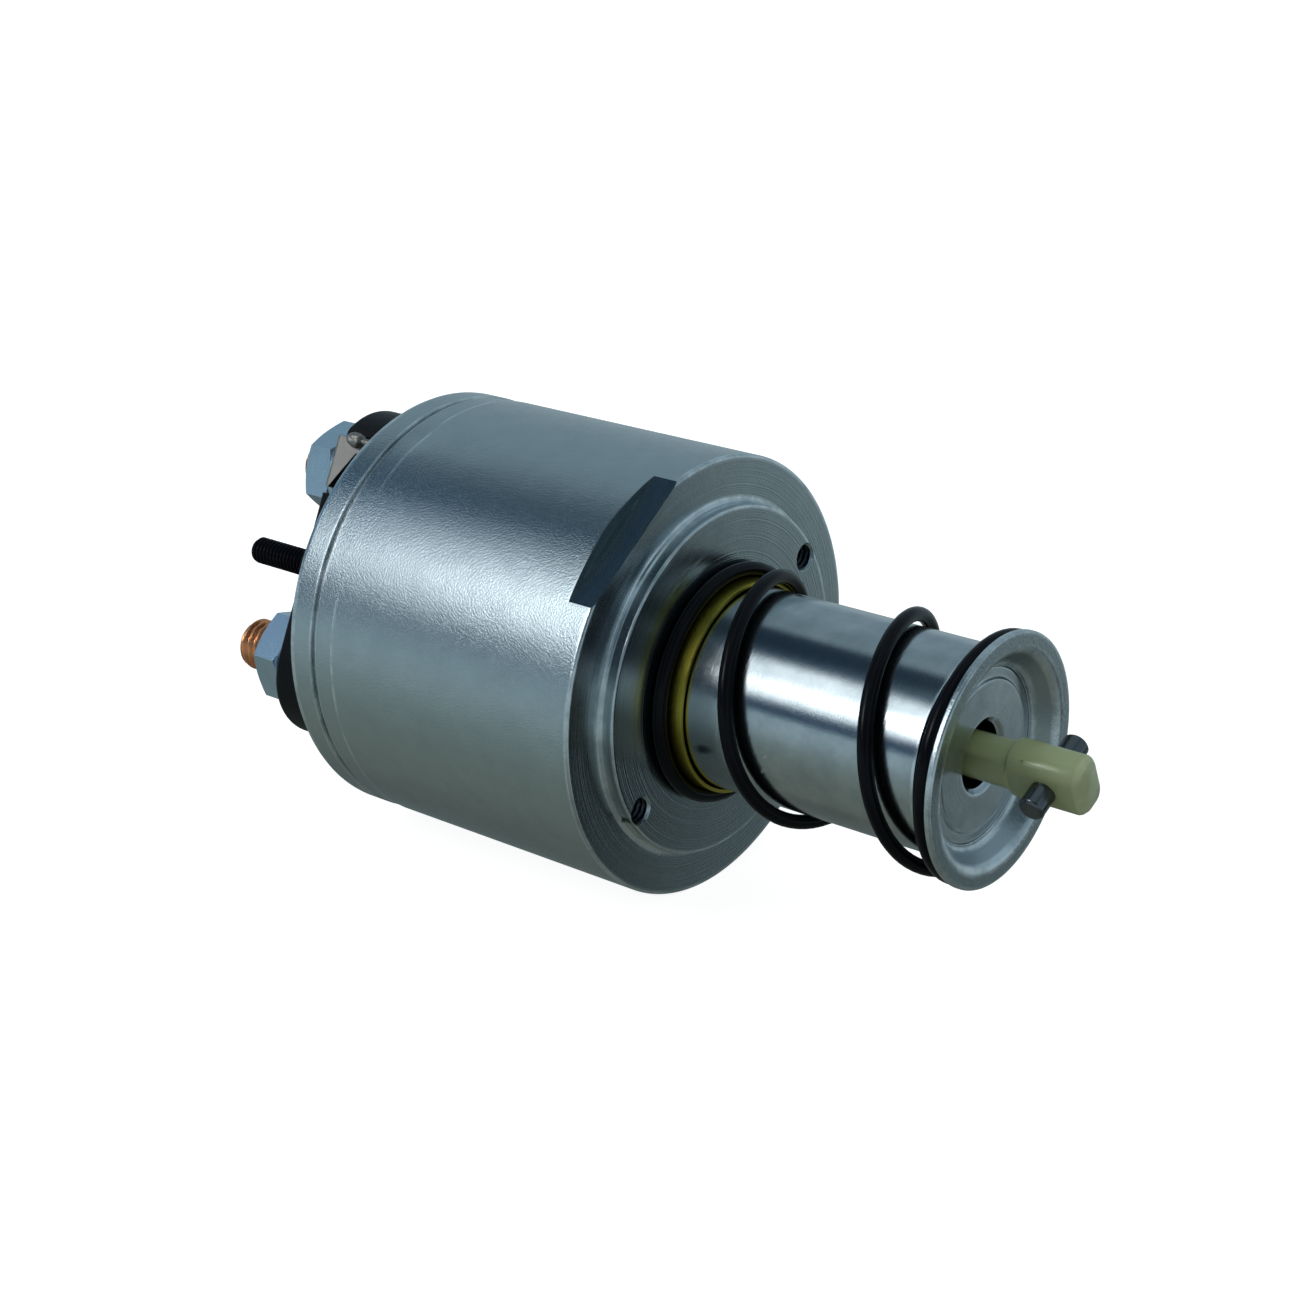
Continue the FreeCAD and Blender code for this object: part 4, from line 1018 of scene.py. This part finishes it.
make_can()
make_plunger()
make_cup()
make_return_coil()
make_hidden_coils()
make_drawbar()
make_stud("battery_stud_thread", "battery_stud", BATTERY_SPOT)
make_stud("motor_stud_thread", "motor_stud", MOTOR_SPOT)
make_control_stud()
make_solder()
for softened_name, softened_node, edge_size in (
    ("battery_nut_edges", "battery_nut", 0.15), ("motor_nut_edges", "motor_nut", 0.15),
    ("battery_spring_washer", "battery_lock_washer", 0.15),
    ("motor_spring_washer", "motor_lock_washer", 0.15),
    ("battery_plain_washer", "battery_flat_washer", 0.12), ("folded_tag", "motor_tag", 0.12),
    ("cap_moulding", "terminal_cap", 0.15), ("tube_edges", "guide_tube", 0.06),
):
    softened_piece(softened_name, softened_node, edge_size, "can")
softened_piece("cross_pin_edges", "cross_pin", 0.08, "drawbar_group")


# Studio: a light tent with one large soft panel on the left, a grey floor, and three lamps

TENT_RADIUS = 0.9
LAMP_DISTANCE = 0.8
DARK_SIDE = [
    (-1.0, (0.15, 0.17, 0.15)), (-0.6, (0.20, 0.25, 0.23)), (-0.4, (0.25, 0.32, 0.32)),
    (-0.15, (0.38, 0.50, 0.55)), (0.03, (0.38, 0.52, 0.58)), (0.09, (0.03, 0.07, 0.13)),
    (0.2, (0.03, 0.07, 0.13)), (0.4, (0.10, 0.22, 0.34)), (0.62, (0.06, 0.15, 0.26)),
    (0.72, (0.03, 0.08, 0.13)), (0.80, (0.04, 0.09, 0.14)), (0.92, (0.22, 0.31, 0.35)),
    (1.0, (0.30, 0.40, 0.44)),
]
OPEN_SIDE = [
    (-1.0, (0.13, 0.15, 0.13)), (-0.6, (0.12, 0.15, 0.15)), (-0.42, (0.20, 0.26, 0.27)),
    (-0.33, (0.28, 0.36, 0.38)), (0.1, (0.36, 0.46, 0.51)), (0.3, (0.24, 0.34, 0.40)),
    (0.65, (0.28, 0.39, 0.45)), (0.8, (0.22, 0.31, 0.36)), (1.0, (0.30, 0.40, 0.44)),
]
# Bearing, height, angle where the spot ends, angle up to which it is full, colour
DARK_SPOTS = [
    (-171.0, 57.0, 16.0, 8.0, (0.015, 0.035, 0.06)),
    (42.0, -21.0, 14.5, 9.0, (0.004, 0.006, 0.008)),
    (-11.0, 54.0, 18.0, 9.0, (0.02, 0.04, 0.06)),
    (-58.0, 30.0, 34.0, 14.0, (0.04, 0.06, 0.08)),
]
PANEL_SHADE = (1.45, 1.60, 1.66, 1)
PANEL_CORE_SHADE = (7.0, 7.4, 7.6, 1)
CAMERA_PLACE = (189.031, -258.698, 123.009)
CAMERA_BEARING = math.radians(38.005)
CAMERA_HEIGHT = math.radians(20.338)
CAMERA_ROLL = math.radians(0.92)
CAMERA_LENS = 69.528


def way_to(azimuth, elevation):
    """The direction of a bearing from +X and a height above the floor, both in degrees."""
    around, up = math.radians(azimuth), math.radians(elevation)
    return Vector((
        math.cos(around) * math.cos(up), math.sin(around) * math.cos(up), math.sin(up)
    ))


def empty_material(name):
    """A material whose tree holds only its output."""
    material = bpy.data.materials.new(name)
    material.use_nodes = True
    tree = material.node_tree
    tree.nodes.remove(tree.nodes["Principled BSDF"])
    return material, tree


def make_tent():
    """The tent's cloth, which shows the metal one bright panel between dark gaps."""
    shape = bmesh.new()
    bmesh.ops.create_icosphere(shape, subdivisions=5, radius=TENT_RADIUS)
    tent = placed("light_tent", finished_mesh(shape, "light_tent"))
    material, tree = empty_material("tent cloth")
    spot = add(tree, "ShaderNodeTexCoord").outputs["Object"]
    way = add(tree, "ShaderNodeVectorMath", {0: spot}, operation="NORMALIZE").outputs[0]
    part = add(tree, "ShaderNodeSeparateXYZ", {0: way}).outputs
    shades = []
    for stops in (DARK_SIDE, OPEN_SIDE):
        ramp = add(tree, "ShaderNodeValToRGB", {0: calc(tree, "MULTIPLY_ADD", part["Z"], 0.5, 0.5)})
        elements = ramp.color_ramp.elements
        elements.remove(elements[1])
        elements[0].position = (stops[0][0] + 1) / 2
        elements[0].color = (*stops[0][1], 1)
        for place, shade in stops[1:]:
            elements.new((place + 1) / 2).color = (*shade, 1)
        shades.append(ramp.outputs[0])
    azimuth = calc(tree, "ARCTAN2", part["Y"], part["X"])

    def fade(value, nothing, full):
        """A soft step from nothing to full."""
        return add(
            tree, "ShaderNodeMapRange", {"Value": value, "From Min": nothing, "From Max": full},
            interpolation_type="SMOOTHSTEP",
        ).outputs[0]

    def beside(angle, nothing, full):
        """A mask that is full within one angle round a bearing and nothing past another."""
        aside = calc(tree, "COSINE", calc(tree, "SUBTRACT", azimuth, math.radians(angle)))
        return fade(aside, math.cos(math.radians(nothing)), math.cos(math.radians(full)))

    def near(angle, rise, nothing, full):
        """The same round a point of the tent."""
        inputs = {0: way, 1: way_to(angle, rise)}
        close = add(
            tree, "ShaderNodeVectorMath", inputs, operation="DOT_PRODUCT"
        ).outputs["Value"]
        return fade(close, math.cos(math.radians(nothing)), math.cos(math.radians(full)))

    shade = laid_over(tree, shades[1], beside(-140.0, 54.0, 28.0), shades[0])
    for angle, rise, nothing, full, colour in DARK_SPOTS:
        shade = laid_over(tree, shade, near(angle, rise, nothing, full), (*colour, 1))
    rising = fade(part["Z"], math.sin(math.radians(13.0)), math.sin(math.radians(20.5)))
    falling = fade(part["Z"], math.sin(math.radians(56.0)), math.sin(math.radians(45.0)))
    panel = calc(tree, "MULTIPLY", rising, falling)
    panel = calc(tree, "MULTIPLY", panel, beside(-122.0, 27.5, 13.0))
    shade = laid_over(tree, shade, panel, PANEL_SHADE)
    shade = laid_over(tree, shade, near(-115.0, 31.0, 10.0, 4.0), PANEL_CORE_SHADE)
    glow = add(tree, "ShaderNodeEmission", {"Color": shade, "Strength": 1.0}).outputs[0]
    tree.links.new(glow, tree.nodes["Material Output"].inputs["Surface"])
    tent.data.materials.append(material)
    tent.visible_camera = False
    tent.visible_shadow = False
    tent.visible_diffuse = False


def make_floor():
    """A pale floor, white where the camera sees it, which keeps the object's soft shadow."""
    bpy.ops.mesh.primitive_circle_add(vertices=96, radius=2.5, fill_type="NGON")
    floor = bpy.context.object
    floor.name = "floor"
    floor.location.z = cad_low.z - 0.02 * MM
    material, tree = empty_material("pale floor")
    paper = add(tree, "ShaderNodeBsdfDiffuse", {"Color": (0.50, 0.47, 0.46, 1)}).outputs[0]
    spot = add(tree, "ShaderNodeTexCoord").outputs["Object"]
    far = add(tree, "ShaderNodeVectorMath", {0: spot}, operation="LENGTH").outputs["Value"]
    level = add(
        tree, "ShaderNodeMapRange",
        {"Value": far, "From Min": 0.15, "From Max": 0.5, "To Min": 0.90, "To Max": 1.1},
    ).outputs[0]
    seen = add(tree, "ShaderNodeLightPath").outputs["Is Camera Ray"]
    strength = calc(tree, "MULTIPLY", seen, level)
    lift = add(tree, "ShaderNodeEmission", {"Strength": strength}).outputs[0]
    both = add(tree, "ShaderNodeAddShader", {0: paper, 1: lift}).outputs[0]
    tree.links.new(both, tree.nodes["Material Output"].inputs["Surface"])
    floor.data.materials.append(material)
    floor.visible_glossy = False


def make_world():
    """White behind everything that the camera sees past the floor."""
    world = bpy.data.worlds.new("white")
    bpy.context.scene.world = world
    world.use_nodes = True
    tree = world.node_tree
    sky = tree.nodes["Background"]
    path = add(tree, "ShaderNodeLightPath").outputs
    seen = calc(tree, "MAXIMUM", path["Is Camera Ray"], path["Is Transmission Ray"])
    seen = calc(tree, "MAXIMUM", seen, path["Is Glossy Ray"])
    shade = laid_over(tree, (0.3, 0.38, 0.42, 1), seen, (1, 1, 1, 1))
    tree.links.new(shade, sky.inputs["Color"])


def make_lamp(name, azimuth, elevation, size, power, shade):
    """A square soft lamp that looks at the object. The tent alone shows in the metal."""
    light = bpy.data.lights.new(name, "AREA")
    light.size = size
    light.energy = power
    light.color = shade
    lamp = placed(name, light)
    way = way_to(azimuth, elevation)
    lamp.location = way * LAMP_DISTANCE
    lamp.rotation_euler = way.to_track_quat("Z", "Y").to_euler()
    lamp.visible_glossy = False
    lamp.visible_camera = False


def make_camera():
    """The camera of the photograph, worked out from the circles that it shows."""
    level = math.cos(CAMERA_HEIGHT)
    back = Vector((
        math.sin(CAMERA_BEARING) * level, -math.cos(CAMERA_BEARING) * level,
        math.sin(CAMERA_HEIGHT),
    ))
    data = bpy.data.cameras.new("camera")
    data.lens = CAMERA_LENS
    data.sensor_width = 36.0
    data.clip_start = 0.01
    camera = placed("camera", data)
    camera.rotation_mode = "QUATERNION"
    roll = Quaternion((0, 0, 1), CAMERA_ROLL)
    camera.rotation_quaternion = (-back).to_track_quat("-Z", "Y") @ roll
    camera.location = Vector(CAMERA_PLACE) * MM
    bpy.context.scene.camera = camera


make_tent()
make_floor()
make_world()
make_lamp("key lamp", -128.0, 38.0, 0.5, 1.6, (0.88, 0.96, 1.0))
make_lamp("top lamp", 60.0, 75.0, 0.6, 0.9, (0.90, 0.97, 1.0))
make_lamp("front lamp", -20.0, 30.0, 0.5, 0.35, (0.95, 1.0, 0.9))
make_camera()
bpy.context.scene.view_settings.view_transform = "Standard"
